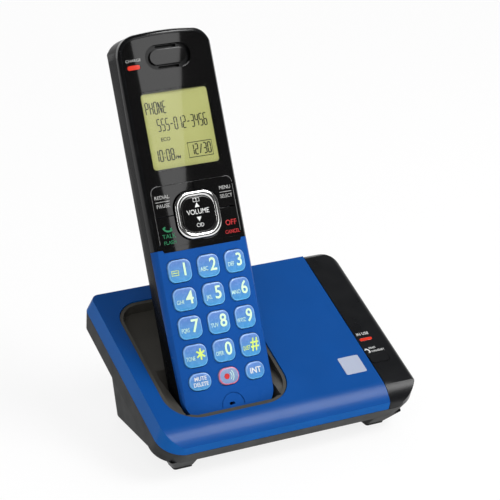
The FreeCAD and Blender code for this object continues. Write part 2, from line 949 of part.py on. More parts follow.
# Display: clear window, glass panel and the light box behind it
window = common(prism(screen_outline(zero), -8.0, 8.0), face_bar(0.0))
node(cut(window, face_bar(s.lens_thick)), "display_window", HAND)
glass = Solid("lcd_panel", HAND)
glass.pad(centred(0.0, s.screen_height, s.glass_wide, s.glass_tall, s.screen_round),
          -(s.glass_top + s.glass_thick), -s.glass_top)
lamp_box = Solid("display_backlight", HAND)
board_face = -(board_top - s.stack_gap)
lamp_box.pad(centred(0.0, s.screen_height, s.lamp_box_wide, s.lamp_box_tall, 1.0),
             board_face, -(s.glass_top + s.glass_thick))

# Earpiece bar in its recess, and the small speaker behind it
bar = common(prism(stadium(s.ear_x, ear_height, s.bar_wide, s.bar_tall), -8.0, 8.0),
             face_bar(s.bar_sink))
node(cut(bar, face_bar(s.plate_thick - 0.02)), "earpiece_bar", HAND)
ear_speaker = Solid("earpiece_speaker", HAND)
ear_speaker.pad(disc(s.ear_x, ear_height, s.speaker_radius), board_face, -s.speaker_top)

# Charge light: a light pipe from the board to the face
node(common(prism(led_outline(zero), board_face, 8.0), face_bar(0.05)), "charge_light", HAND)

# Number keys: a pillar that follows the face and a flange behind the wall
for name in KEYS:
    pillar = common(prism(key_outline(name, zero), -s.key_foot, 8.0), face_bar(-s.key_proud))
    top_edge = s.key_proud.value - 4.0
    pillar = blend_edges(pillar, s.key_blend, lambda box: box.ZMin > top_edge)
    flange = common(prism(key_outline(name, s.key_edge), -s.key_foot, 8.0),
                    face_bar(s.upper_wall + 0.06))
    node(fuse(pillar, flange), name, HAND)


# Soft keys: quarters of the control panel round the navigation key
def quarter(left, right, low, high):
    return [(left, low), (right, low), (right, high), (left, high)]


def nav_outline(wide, corner):
    return centred(s.nav_x, s.nav_height, wide, wide, corner)


half_seam = s.soft_seam / 2.0
panel_half = s.panel_wide / 2.0 + 1.0
panel_up = s.panel_tall / 2.0 + 1.0
soft_foot = mat_top - s.stack_gap - s.soft_press
flange_half = s.soft_flange
for name, side, level in (("redial_key", -1.0, 1.0), ("menu_key", 1.0, 1.0),
                          ("talk_key", -1.0, -1.0), ("off_key", 1.0, -1.0)):
    left, right = (half_seam, panel_half) if side > 0 else (-panel_half, -half_seam)
    low, high = (half_seam, panel_up) if level > 0 else (-panel_up, -half_seam)
    nook = prism(quarter(left, right, s.panel_height + low, s.panel_height + high), -8.0, 8.0)
    cap = common(prism(panel_outline(-s.panel_gap), -soft_foot, 8.0), nook, face_bar(s.soft_sink))
    far_y = s.panel_tall / 2.0 + s.key_edge
    ledge_low, ledge_high = (half_seam, far_y) if level > 0 else (-far_y, -half_seam)
    ledge_left, ledge_right = ((half_seam, flange_half) if side > 0
                               else (-flange_half, -half_seam))
    ledge = common(prism(quarter(ledge_left, ledge_right, s.panel_height + ledge_low,
                                 s.panel_height + ledge_high), -soft_foot, 8.0),
                   face_bar(s.upper_wall + 0.06))
    node(cut(fuse(cap, ledge), prism(nav_outline(s.nav_hole, s.nav_round + 0.5), -FAR, 8.0)),
         name, HAND)

# Navigation key: a bright ring round a black rocker on a stem
ring = cut(prism(nav_outline(s.nav_ring, s.nav_round), -s.nav_ring_foot, s.nav_ring_top),
           prism(nav_outline(s.nav_wide, s.nav_round - 1.5), -FAR, FAR))
ring = blend_edges(ring, s.nav_blend, lambda box: box.ZMin > 0.1)
node(ring, "nav_ring", HAND)
rocker = fuse(
    prism(nav_outline(s.nav_wide - 0.1, s.nav_round - 1.5), -s.nav_ring_foot - 0.5, s.nav_top),
    prism(nav_outline(s.nav_ring, s.nav_round), -s.nav_foot, -s.nav_ring_foot),
    rod(s.nav_x, s.nav_height, -s.stem_tip, -s.nav_foot, s.stem_radius),
    rod(s.nav_x, s.nav_height, -s.stem_tip, -s.stem_tip + 1.0, s.stem_head),
    prism(disc(s.nav_height, -s.nav_foot, s.pivot_radius), -s.pivot_half, s.pivot_half, "yz"),
)
rocker = blend_edges(rocker, s.nav_blend, lambda box: box.ZMin > s.nav_top.value - 0.05)
node(rocker, "nav_key", HAND)

# Keypad mat and the handset's board
mat = Solid("keypad_mat", HAND)
mat.pad(rounded(-s.mat_half, s.mat_half, s.mat_low, s.mat_high, (2.0,) * 4),
        -(mat_top + s.mat_thick), -mat_top)
mat.pocket(disc(s.nav_x, s.nav_height, s.stem_hole + 0.5), -FAR, 0.0)
board = Solid("handset_board", HAND)
board.pad(rounded(-s.board_half, s.board_half, s.board_low, board_high,
                  (s.board_round, s.board_round_top, s.board_round_top, s.board_round)),
          -(board_top + s.board_thick), -board_top)
board.pocket(disc(s.nav_x, s.nav_height, s.stem_hole), -FAR, 0.0)
for x, y in all_spots:
    board.pocket(disc(x, y, s.hboss_radius + 0.3), -FAR, 0.0)

# Microphone behind its hole
microphone = Solid("microphone", HAND)
microphone.pad(disc(s.mic_x, s.mic_height, s.mic_radius), board_face, -(s.upper_wall + 0.2))

# Rear housing: shell, battery tub, screw posts, speaker ring and grille
rear = cut(common(form, prism([(-FAR, -FAR), (FAR, -FAR), (FAR, FAR * 4.0), (-FAR, FAR * 4.0)],
                              -FAR, -(s.hand_parting + s.parting_gap))), hollow)
tub = slab(-(s.tub_half + s.tub_wall), s.tub_half + s.tub_wall, s.tub_low - s.tub_wall,
           s.tub_high + s.tub_wall, -(s.low_back - 1.0), -(s.tub_top - s.tub_wall))
posts = [common(rod(x, y, -FAR, -(s.boss_low + 0.1), s.hpost_radius), form) for x, y in all_spots]
ring_out = rod(0.0, s.loud_height, -(s.low_back - 1.0), -(s.low_back - 5.0), s.loud_radius + 1.3)
rear = fuse(rear, tub, ring_out, *posts)
tub_hole = slab(-s.tub_half, s.tub_half, s.tub_low, s.tub_high, -FAR, -s.tub_top)
speaker_hole = rod(0.0, s.loud_height, -(s.low_back - s.hand_wall), -8.0, s.loud_radius + 0.2)


def door_outline(grow):
    return rounded(-(s.door_half + grow), s.door_half + grow, s.door_low - 4.0,
                   s.door_high + grow, (0.0, s.door_round, s.door_round, 0.0))


door_recess = prism(door_outline(s.door_gap), -FAR, -(s.door_floor - 0.05))
grille = []
for index in range(int(SIZES["grille_slots"])):
    offset = s.grille_pitch * float(index - (int(SIZES["grille_slots"]) - 1) / 2.0)
    grille.append(prism(stadium(0.0, s.loud_height + offset, s.grille_wide, s.grille_slot),
                        -FAR, -(s.low_back - s.hand_wall - 1.0)))
bores = []
for x, y in all_spots:
    bores.append(rod(x, y, -FAR, 0.0, s.hscrew_radius + s.screw_clear))
    bores.append(rod(x, y, -FAR, -s.hscrew_seat, s.hscrew_head + 0.2))
hook_cuts = []
hooks = []
for side in (-1.0, 1.0):
    for spot in (s.hook_low, s.hook_high):
        entry = spot - s.door_slide - s.door_gap
        end = spot + s.hook_long + s.door_gap
        inner = s.hook_x
        outer = s.hook_x + s.hook_wide

        def across(near, far):
            return (near, far) if side > 0 else (-far, -near)

        wide_left, wide_right = across(inner - 0.3, outer + 0.3)
        stem_left, stem_right = across(inner, inner + s.hook_stem)
        slot_left, slot_right = across(inner - 0.3, inner + s.hook_stem + 0.3)
        toe_left, toe_right = across(inner, outer)
        hook_cuts.append(slab(wide_left, wide_right, entry, end, -s.hook_lip, -s.hook_roof))
        hook_cuts.append(slab(wide_left, wide_right, entry, spot - 1.2, -FAR, -s.hook_lip + 0.1))
        hook_cuts.append(slab(slot_left, slot_right, entry, end, -FAR, -s.hook_lip + 0.1))
        hooks.append(slab(stem_left, stem_right, spot, spot + s.hook_long,
                          -(s.door_floor + 0.5), -(s.hook_lip - 0.15)))
        hooks.append(slab(toe_left, toe_right, spot, spot + s.hook_long,
                          -(s.hook_lip - 0.15), -(s.hook_roof + 0.25)))
contact_spots = (-s.contact_x, s.contact_x)
contact_nests = []
contact_plates = []
for x in contact_spots:
    half = s.plate_wide / 2.0
    low = s.contact_along - s.plate_long / 2.0
    high = s.contact_along + s.plate_long / 2.0
    contact_nests.append(heel_block(x - half - 0.05, x + half + 0.05, low - 0.05, high + 0.05,
                                    -2.0, s.plate_deep + 0.02))
    contact_plates.append(heel_block(x - half, x + half, low, high, 0.02, s.plate_deep))
node(cut(rear, tub_hole, speaker_hole, door_recess, *grille, *bores, *hook_cuts, *contact_nests),
     "rear_housing", HAND)

# Battery door with hooks and finger grooves, and the pack under it
door = common(form, prism(door_outline(zero), -FAR, -s.door_floor))
grips = [slab(-s.grip_half, s.grip_half, s.door_low + 12.0 + step * 3.0,
              s.door_low + 13.2 + step * 3.0, -FAR, -(s.hand_back - 0.4)) for step in (0.0, 1.0, 2.0)]
node(cut(fuse(door, *hooks), *grips), "battery_door", HAND)
cell_mid = s.tub_low + (s.tub_high - s.tub_low) / 2.0
cell_low = cell_mid - s.cell_length / 2.0
cell_high = cell_mid + s.cell_length / 2.0
cell_z = -(s.tub_top + s.cell_radius + 0.3)
cells = [rod(x, cell_z, cell_low, cell_high, s.cell_radius, "y")
         for x in (-s.cell_radius - 0.05, s.cell_radius + 0.05)]
wrap = slab(-s.cell_radius, s.cell_radius, cell_low + 1.0, cell_high - 1.0,
            cell_z - s.cell_radius + 0.05, cell_z + s.cell_radius - 0.05)
node(fuse(wrap, *cells), "battery_pack", HAND)

# Loudspeaker, contact plates and screws of the handset
loud = fuse(
    rod(0.0, s.loud_height, -(s.low_back - s.hand_wall - 0.1), -(s.low_back - 4.2), s.loud_radius),
    rod(0.0, s.loud_height, -(s.low_back - 4.2), -(s.low_back - s.hand_wall - s.loud_thick),
        s.loud_radius * 0.6),
)
node(loud, "loudspeaker", HAND)
node(fuse(*contact_plates), "handset_charge_contacts", HAND)
node(fuse(*[screw(x, y, -s.hscrew_seat, -s.hscrew_tip, s.hscrew_radius, s.hscrew_head,
                  s.hscrew_head_tall) for x, y in all_spots]), "handset_screws", HAND)


# Base top shell, blue: a tapered outline under a shoulder that rolls to the front
def base_profile(inset, band, below, rear=None):
    """The base top from the side: front band, shoulder and flat top; the rear is
    rolled like the front where its place is given, and left open to the rear if not."""
    rise = s.top_height - band
    run = s.shoulder_run - inset
    drop = rise - inset * 0.4
    radius = (run * run + drop * drop) / (2.0 * drop)
    top = s.top_height - inset
    path = [(inset, -below)]
    if rear is None:
        path += [(FAR * 3.0, -below), (FAR * 3.0, top)]
    else:
        roll = s.cap_roll - inset * 0.5
        path += [(rear, -below), (rear, top - roll), (rear - roll, top, roll * 1.0001)]
    return path + [(s.shoulder_run + 0.5, top), (inset + 0.5, top - drop, radius)]


def top_block(inset, low):
    """The blue block: its outline draws in towards the top at the left and the rear."""
    radii = (0.0, 0.0, s.rear_round - inset, s.front_round - inset)
    left = inset - s.tray_half
    right = cap_edge - inset
    rear = s.tray_length - inset
    low_path = rounded(left, right, inset, rear, radii)
    high_path = rounded(left + s.side_draft, right, inset, rear - s.side_draft, radii)
    taper = loft(flat_sketch(low_path, "xy", low), flat_sketch(high_path, "xy", s.top_height))
    profile = prism(base_profile(inset, s.band_height, 1.0 - as_size(low)), -FAR * 2.0, FAR * 2.0, "yz")
    return common(taper, profile)


def well_outline(inset):
    half = s.well_width / 2.0 - inset
    front = s.well_front_round - inset
    back = s.well_rear_round - inset
    return rounded(s.seat_x - half, s.seat_x + half, s.well_front + inset, s.well_rear - inset,
                   (front, back, back, front))


base_screws = [(-s.bscrew_left, s.bscrew_rear), (s.bscrew_right, s.bscrew_rear),
               (s.bscrew_front_x, s.bscrew_front_y)]
cap_screw = (s.bscrew_cap_x, s.bscrew_cap_y)
under_top = s.top_height - s.wall
boss_bottom = -(s.screw_seat - s.post_tip)


def base_boss(x, y):
    return rod(x, y, boss_bottom + 0.1, under_top + 0.5, s.boss_radius)


def base_bore(x, y):
    return rod(x, y, -FAR, s.screw_reach - s.screw_seat + 0.5, s.screw_radius + s.screw_clear)


hangers = [rod(x, y, -(s.base_board_top - 0.05), under_top + 0.5, 2.4)
           for x in (s.hanger_left, s.hanger_right) for y in (s.hanger_front, s.hanger_rear)]
top_outer = top_block(zero, zero)
top_inner = top_block(s.wall, -1.0 * s.seam)
blue = fuse(cut(top_outer, top_inner), *hangers, *[base_boss(x, y) for x, y in base_screws])
node(cut(blue, prism(well_outline(zero), -FAR, FAR), *[base_bore(x, y) for x, y in base_screws]),
     "base_top_shell", TRAY)


# Base end cap, black, with the in-use light and the button that pages the handset
def cap_block(inset, low):
    right = s.tray_half - inset
    left = cap_edge + s.cap_gap + inset
    rear = s.tray_length - inset
    low = as_size(low)
    front_corner = s.cap_front_round - inset
    rear_corner = s.cap_rear_round - inset
    outline = prism(rounded(left, right, inset, rear, (front_corner, rear_corner, 0.0, 0.0)),
                    low, s.top_height + 1.0)
    side = prism(base_profile(inset, s.cap_band, 1.0 - low, rear), 0.0, FAR * 2.0, "yz")
    top = s.top_height - inset
    roll = s.cap_roll - inset * 0.5
    section = prism([(left - 1.0, low - 1.0), (right, low - 1.0),
                     (right, top - roll), (right - roll, top, roll * 1.0001),
                     (left - 1.0, top)], -FAR, FAR * 3.0, "xz")
    return common(outline, side, section)


button_path = centred(button_x, s.button_run, s.button_wide, s.button_deep, 1.6)
button_hole = prism(centred(button_x, s.button_run, s.button_wide + s.button_gap * 2.0,
                            s.button_deep + s.button_gap * 2.0, 1.8), 0.0, FAR)
lamp_path = stadium(lamp_x, s.lamp_run, s.lamp_wide, s.lamp_deep)
lamp_hole = prism(stadium(lamp_x, s.lamp_run, s.lamp_wide + 0.1, s.lamp_deep + 0.1), 0.0, FAR)
cap = fuse(cut(cap_block(zero, 0.0), cap_block(s.wall, -0.5)), base_boss(*cap_screw))
node(cut(cap, button_hole, lamp_hole, base_bore(*cap_screw)), "base_end_cap", TRAY)
flange_top = under_top - 0.1
ledge_deep = s.button_deep / 2.0 + s.button_flange
button_ledge = rounded(cap_edge + s.cap_gap + s.wall + s.button_gap,
                       button_x + s.button_wide / 2.0 + s.button_flange,
                       s.button_run - ledge_deep, s.button_run + ledge_deep, (1.0,) * 4)
button = fuse(
    prism(button_path, flange_top - 0.5, s.top_height + 0.15),
    prism(button_ledge, flange_top - s.button_flange, flange_top),
    rod(button_x, s.button_run, s.switch_top + s.button_press + 0.1, flange_top - 0.5,
        s.button_stem / 2.0),
)
node(button, "find_button", TRAY)
node(common(prism(lamp_path, -(s.base_board_top - 0.1), FAR),
            slab(0.0, FAR * 2.0, 0.0, FAR * 3.0, -FAR, s.top_height + 0.1)), "in_use_light", TRAY)
label = Solid("blank_label", TRAY)
label.pad(centred(label_x, s.label_run, s.label_wide, s.label_wide, 0.8), s.top_height,
          s.top_height + s.label_thick)

# Base board, hung from the top shell, with the switch under the button
base_board = Solid("base_board", TRAY)
base_board.pad(rounded(s.base_board_x, base_board_right, s.base_board_front,
                       s.base_board_rear, (2.0,) * 4),
               -(s.base_board_top + s.base_board_thick), -s.base_board_top)
base_board.pad(centred(button_x, s.button_run, s.switch_wide, s.switch_wide, 0.5),
               -s.base_board_top - 0.5, s.switch_top)

# Cradle liner: lip, bowl, handset slot with its own walls, and the rest behind the handset
lip_top = s.top_height - s.liner_sink
bowl_floor = s.top_height - s.bowl_depth
block = prism(well_outline(s.well_gap), bowl_floor - s.liner_wall, lip_top)
slot_half = s.section_half
gap = s.seat_gap
slot_path = [
    (-gap, gap), (-gap, -(s.heel_back + s.slot_drop)),
    (s.heel_length - s.slot_drop, -(s.low_back + gap)), (FAR, -(s.low_back + gap)), (FAR, gap),
]
grow = s.liner_wall
wall_path = [
    (-(gap + grow), gap + grow), (-(gap + grow), -(s.heel_back + s.slot_drop + grow * 0.7)),
    (s.heel_length - s.slot_drop - grow * 0.4, -(s.low_back + gap + grow)),
    (FAR, -(s.low_back + gap + grow)), (FAR, gap + grow),
]


walls = common(prism(wall_path, -(slot_half + grow), slot_half + grow, "yz"),
               slab(-FAR, FAR, -FAR, FAR * 2.0, -FAR, FAR))
tilt(walls, SEAT)
walls = common(walls, slab(-FAR * 2.0, FAR, -FAR, FAR * 2.0, -FAR, under_top - 0.3))
bowl = loft(flat_sketch(well_outline(s.well_gap + s.bowl_draft), "xy", bowl_floor),
            flat_sketch(well_outline(s.well_gap + s.liner_wall), "xy", lip_top + 0.5))
shelf = lip_top - s.shelf_sink
ramp_path = [(0.0, -FAR), (0.0, shelf), (s.ramp_start, shelf), (s.ramp_end, bowl_floor),
             (s.ramp_end, -FAR)]
bowl = cut(bowl, prism(ramp_path, -FAR * 2.0, FAR, "yz"))
under_front = s.well_front + s.well_gap + s.liner_wall
under_path = [(under_front, -FAR), (under_front, shelf - s.liner_wall),
              (s.ramp_start - s.liner_wall / 2.0, shelf - s.liner_wall),
              (s.ramp_end - s.liner_wall / 2.0, bowl_floor - s.liner_wall),
              (s.ramp_end - s.liner_wall / 2.0, -FAR)]
under_half = s.well_width / 2.0 - s.well_gap - s.liner_wall
block = cut(block, prism(under_path, s.seat_x - under_half, s.seat_x + under_half, "yz"))
rest_face = -(s.low_back + gap)
rest_top = s.rest_high
rest_path = [(s.heel_length, rest_face), (s.heel_length, rest_face - 10.0),
             (rest_top - 8.0, rest_face - 10.0), (rest_top, rest_face - 1.6),
             (rest_top, rest_face)]
rest = common(prism(rest_path, -s.rest_half, s.rest_half, "yz"),
              slab(-FAR, FAR, -FAR, FAR * 2.0, -FAR, FAR))
tilt(rest, SEAT)
rest = common(rest, slab(-FAR * 2.0, FAR, -FAR, FAR * 2.0, bowl_floor - 1.0, lip_top))
slot = fuse(
    prism(slot_path, -slot_half, slot_half, "yz"),
    *[heel_block(x - s.pin_wide / 2.0 - 0.2, x + s.pin_wide / 2.0 + 0.2,
                 s.contact_along - s.pin_long / 2.0 - 0.2, s.contact_along + s.pin_long / 2.0 + 0.2,
                 -5.0, 1.0) for x in contact_spots],
)
tilt(slot, SEAT)
node(cut(fuse(cut(fuse(block, walls), bowl), rest), slot), "cradle_liner", TRAY)

# Sprung charge contacts that stand through the liner's floor
for side, x in (("left", -s.contact_x), ("right", s.contact_x)):
    wide = s.pin_wide / 2.0
    deep = s.pin_long / 2.0
    pin = fuse(
        heel_block(x - wide, x + wide, s.contact_along - deep, s.contact_along + deep,
                   -(s.pin_gap + s.pin_tall), -s.pin_gap),
        heel_block(x - wide - 1.2, x + wide + 1.2, s.contact_along - deep - 1.2,
                   s.contact_along + deep + 1.2, -(s.pin_shoulder + s.pin_flange),
                   -s.pin_shoulder),
    )
    node(pin, f"cradle_contact_{side}", HAND)


# Base bottom shell, black: sloped pan, lower box and front feet, all in one
def pan_block(inset, low, high):
    """The sloped pan in the tray frame: its outline shrinks towards the floor."""
    lean_in = s.pan_front_in
    top = rounded(-(s.tray_half - inset), s.tray_half - inset, inset, s.tray_length - inset,
                  (s.cap_front_round - inset, s.cap_rear_round - inset, s.rear_round - inset,
                   s.front_round - inset))
    half = s.tray_half - s.pan_side_in - inset
    bottom = rounded(-half, half, lean_in + inset, s.tray_length - s.pan_rear_in - inset,
                     (s.cap_front_round - inset, s.cap_rear_round - inset, s.rear_round - inset,
                      s.front_round - inset))
    return loft(flat_sketch(bottom, "xy", low), flat_sketch(top, "xy", high))


def box_block(inset, low):
    """The lower box in level coordinates: its walls open upwards."""
    low = as_size(low)
    high = low + s.box_tall
    half = box_half - inset
    top_half = box_top_half - inset
    corner = s.box_round - inset
    front = s.box_front + inset * 1.4 + (s.pad_height - low)
    first = flat_sketch(rounded(-half, half, front, s.box_rear - inset, (corner,) * 4),
                        "xy", low)
    second = flat_sketch(rounded(-top_half, top_half, front - s.box_tall, s.box_rear - inset,
                                 (corner,) * 4), "xy", high)
    return loft(first, second)


def on_slope(*items):
    """What the items share, turned from the tray frame into level coordinates."""
    body = common(*items)
    tilt(body, SLOPE)
    return body


huge = FAR * 4.0
pan_floor = -s.pan_depth
pan_outer = on_slope(pan_block(zero, pan_floor, -s.parting_gap),
                     slab(-huge, huge, -huge, huge, -FAR, FAR))
pan_inner = on_slope(pan_block(s.wall, pan_floor + s.wall, s.seam),
                     slab(-huge, huge, -huge, huge, -FAR, FAR))
below_pan = on_slope(slab(-huge, huge, -huge, huge, -FAR * 2.0, pan_floor + 0.5),
                     slab(-huge, huge, -huge, huge, -FAR * 3.0, FAR))
below_deck = on_slope(slab(-huge, huge, -huge, huge, -FAR * 2.0, pan_floor + s.wall + 0.5),
                      slab(-huge, huge, -huge, huge, -FAR * 3.0, FAR))
box_outer = common(box_block(zero, s.pad_height), below_pan)
box_inner = common(box_block(s.wall, s.pad_height + s.wall), below_deck)


def foot(side):
    outer, inner = foot_outer, foot_outer - s.foot_width
    top_outer_x, top_inner_x = foot_top_outer, foot_top_outer - s.foot_top_width
    if side < 0:
        outer, inner = -inner, -outer
        top_outer_x, top_inner_x = -top_inner_x, -top_outer_x
    low = flat_sketch(rounded(inner, outer, s.foot_front, s.foot_front + s.foot_depth,
                              (1.5,) * 4), "xy", s.pad_height)
    high = flat_sketch(rounded(top_inner_x, top_outer_x, s.foot_top_front,
                               s.foot_top_front + s.foot_top_depth, (1.5,) * 4), "xy", 0.0)
    level = pan_floor + 0.5
    tilt(high, (s.slope, zero, -level * sin(s.slope), s.lip_height + level * cos(s.slope)))
    return loft(low, high)


feet = [foot(side) for side in (-1.0, 1.0)]
post_top = -(s.screw_seat - s.post_tip)
base_posts = [on_slope(rod(x, y, pan_floor, post_top, s.post_radius),
                       pan_block(zero, pan_floor, zero)) for x, y in base_screws + [cap_screw]]
counterbores = []
for x, y in base_screws + [cap_screw]:
    counterbores.append(rod(x, y, -FAR, 0.0, s.screw_radius + s.screw_clear))
    counterbores.append(rod(x, y, -FAR, -s.screw_seat, s.screw_head + 0.3))
tools = fuse(*counterbores)
tilt(tools, SLOPE)
jack_floor = s.jack_board_low + s.jack_board_thick + 0.05
line_z = jack_floor + s.line_tall / 2.0
power_z = jack_floor + s.power_tall / 2.0
jack_holes = [
    slab(line_x - s.line_wide / 2.0 - s.jack_gap, line_x + s.line_wide / 2.0 + s.jack_gap,
         s.box_rear - 5.0, s.box_rear + 5.0, jack_floor - s.jack_gap,
         jack_floor + s.line_tall + s.jack_gap),
    slab(power_x - s.power_wide / 2.0 - s.jack_gap,
         power_x + s.power_wide / 2.0 + s.jack_gap, s.box_rear - 5.0, s.box_rear + 5.0,
         jack_floor - s.jack_gap, jack_floor + s.power_tall + s.jack_gap),
]
shell = cut(fuse(pan_outer, box_outer, *feet), pan_inner, box_inner)
node(cut(fuse(shell, *base_posts), tools, *jack_holes), "base_bottom_shell", WORLD)

# Screws of the base, and rubber pads under the box and the feet
node(fuse(*[screw(x, y, -s.screw_seat, s.screw_reach - s.screw_seat, s.screw_radius,
                  s.screw_head, s.screw_head_tall) for x, y in base_screws + [cap_screw]]),
     "base_screws", TRAY)
pad_y = s.box_rear - s.rear_pad_in
pads = [rod(x, pad_y, 0.0, s.pad_height, s.rear_pad_radius)
        for x in (-s.rear_pad_half, s.rear_pad_half)]
foot_mid = foot_outer - s.foot_width / 2.0
for x in (-foot_mid, foot_mid):
    pads.append(prism(centred(x, s.foot_front + s.foot_depth / 2.0, s.foot_width - 1.0,
                              s.foot_depth - 1.0, 1.2), 0.0, s.pad_height))
node(fuse(*pads), "foot_pads", WORLD)

# Jack board with the telephone line jack and the power jack
jacks = Solid("jack_board", WORLD)
jacks.pad(rounded(line_x - s.line_wide / 2.0 - s.jack_board_side,
                  power_x + s.power_wide / 2.0 + s.jack_board_side * 0.7,
                  s.box_rear - s.wall - s.jack_board_deep, s.box_rear - s.wall - 0.3, (1.5,) * 4),
          s.jack_board_low, s.jack_board_low + s.jack_board_thick)
line = Solid("line_jack", WORLD)
line.pad(centred(line_x, line_z, s.line_wide, s.line_tall, 0.4), s.box_rear - s.line_deep,
         s.box_rear, "xz")
line.pocket(centred(line_x, line_z, s.line_mouth_wide, s.line_mouth_tall, 0.3),
            s.box_rear - s.line_mouth_deep, s.box_rear + 1.0, "xz")
line.pocket(centred(line_x, line_z - s.line_mouth_tall / 2.0 - 0.6, s.latch_wide,
                    s.latch_tall, 0.2), s.box_rear - s.line_mouth_deep, s.box_rear + 1.0, "xz")
power_body = cut(
    slab(power_x - s.power_wide / 2.0, power_x + s.power_wide / 2.0,
         s.box_rear - s.power_deep, s.box_rear, jack_floor, jack_floor + s.power_tall),
    rod(power_x, power_z, s.box_rear - s.power_mouth_deep, s.box_rear + 1.0, s.power_bore, "y"),
)
node(fuse(power_body, rod(power_x, power_z, s.box_rear - s.power_mouth_deep - 1.0,
                          s.box_rear - 0.8, s.power_pin, "y")), "power_jack", WORLD)


write_all()
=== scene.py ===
import json
import math

import bmesh
import bpy
from mathutils import Matrix, Quaternion, Vector


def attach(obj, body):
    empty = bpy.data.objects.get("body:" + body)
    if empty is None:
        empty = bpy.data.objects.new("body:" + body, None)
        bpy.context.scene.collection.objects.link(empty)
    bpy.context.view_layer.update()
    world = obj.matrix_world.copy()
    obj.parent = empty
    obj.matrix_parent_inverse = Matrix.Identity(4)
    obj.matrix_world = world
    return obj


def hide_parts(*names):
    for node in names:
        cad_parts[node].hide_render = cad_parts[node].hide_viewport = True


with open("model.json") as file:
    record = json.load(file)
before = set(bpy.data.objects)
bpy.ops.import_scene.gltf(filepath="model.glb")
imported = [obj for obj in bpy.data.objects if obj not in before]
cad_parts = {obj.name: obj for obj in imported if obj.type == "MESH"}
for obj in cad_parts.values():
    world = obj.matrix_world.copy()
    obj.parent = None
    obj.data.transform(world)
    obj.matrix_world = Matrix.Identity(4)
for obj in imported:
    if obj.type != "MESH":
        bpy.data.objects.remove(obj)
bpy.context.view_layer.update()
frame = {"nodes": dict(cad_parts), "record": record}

MM = 0.001

# Places in the part's frame, in millimetres and degrees
SLOPE = 23.3
LEAN = 23.9
LIP = 13.9
TRAY_Y = -46.192
SEAT_X, SEAT_RUN, SEAT_RISE = -25.1, 10.85, 3.27
BASE_TOP = 8.26
FACE_R = 80.0


def turned(angle, x, y, z):
    """Local millimetres, turned about X and moved, into metres."""
    move = Matrix.Translation(Vector((x, y, z)) * MM)
    return move @ Matrix.Rotation(math.radians(angle), 4, "X") @ Matrix.Scale(MM, 4)


# The base's sloped tray, the leaning handset and the level frame of the feet
SEAT_Y = SEAT_RUN * math.cos(math.radians(SLOPE)) - SEAT_RISE * math.sin(math.radians(SLOPE))
SEAT_Z = SEAT_RUN * math.sin(math.radians(SLOPE)) + SEAT_RISE * math.cos(math.radians(SLOPE))
TRAY = turned(SLOPE, 0.0, TRAY_Y, LIP)
HAND = turned(90.0 - LEAN, SEAT_X, TRAY_Y + SEAT_Y, LIP + SEAT_Z)
WORLD = turned(0.0, 0.0, TRAY_Y, 0.0)


# Shader helpers
def nodes_of(name):
    """A new material with its tree and its main shader."""
    mat = bpy.data.materials.new(name)
    mat.use_nodes = True
    tree = mat.node_tree
    return mat, tree, tree.nodes["Principled BSDF"]


def link(tree, output, socket):
    tree.links.new(output, socket)


def noise(tree, scale, detail=3.0):
    """Noise in the object's own coordinates."""
    coords = tree.nodes.new("ShaderNodeTexCoord")
    texture = tree.nodes.new("ShaderNodeTexNoise")
    texture.inputs["Scale"].default_value = scale
    texture.inputs["Detail"].default_value = detail
    texture.inputs["Roughness"].default_value = 0.5
    link(tree, coords.outputs["Object"], texture.inputs["Vector"])
    return texture.outputs["Fac"]


def spread(tree, fac, low, high, start=0.3, end=0.7):
    """Maps a factor's start..end onto low..high."""
    ramp = tree.nodes.new("ShaderNodeMapRange")
    ramp.inputs["From Min"].default_value = start
    ramp.inputs["From Max"].default_value = end
    ramp.inputs["To Min"].default_value = low
    ramp.inputs["To Max"].default_value = high
    link(tree, fac, ramp.inputs["Value"])
    return ramp.outputs["Result"]


def colours(tree, fac, first, second, start=0.3, end=0.7):
    """Blends two colours over a factor's start..end."""
    ramp = tree.nodes.new("ShaderNodeValToRGB")
    ramp.color_ramp.elements[0].position = start
    ramp.color_ramp.elements[1].position = end
    ramp.color_ramp.elements[0].color = (*first, 1.0)
    ramp.color_ramp.elements[1].color = (*second, 1.0)
    link(tree, fac, ramp.inputs["Fac"])
    return ramp.outputs["Color"]


def math_node(tree, operation, first, second):
    node = tree.nodes.new("ShaderNodeMath")
    node.operation = operation
    for socket, value in zip(node.inputs, (first, second)):
        if isinstance(value, (int, float)):
            socket.default_value = value
        else:
            link(tree, value, socket)
    return node.outputs["Value"]


def mixed(tree, fac, low, high):
    """low where the factor is 0 and high where it is 1."""
    part = math_node(tree, "MULTIPLY", fac, high)
    rest = math_node(tree, "MULTIPLY", math_node(tree, "SUBTRACT", 1.0, fac), low)
    return math_node(tree, "ADD", part, rest)


def looked_at(tree):
    """1 where a surface is seen by the camera, in a mirror or through glass."""
    rays = tree.nodes.new("ShaderNodeLightPath")
    direct = math_node(tree, "MAXIMUM", rays.outputs["Is Camera Ray"], rays.outputs["Is Glossy Ray"])
    return math_node(tree, "MAXIMUM", direct, rays.outputs["Is Transmission Ray"])


# Moulded and printed materials
CLOUD_SCALE, GLOSS_SCALE = 55.0, 140.0
GRAIN_DEPTH = 0.0002


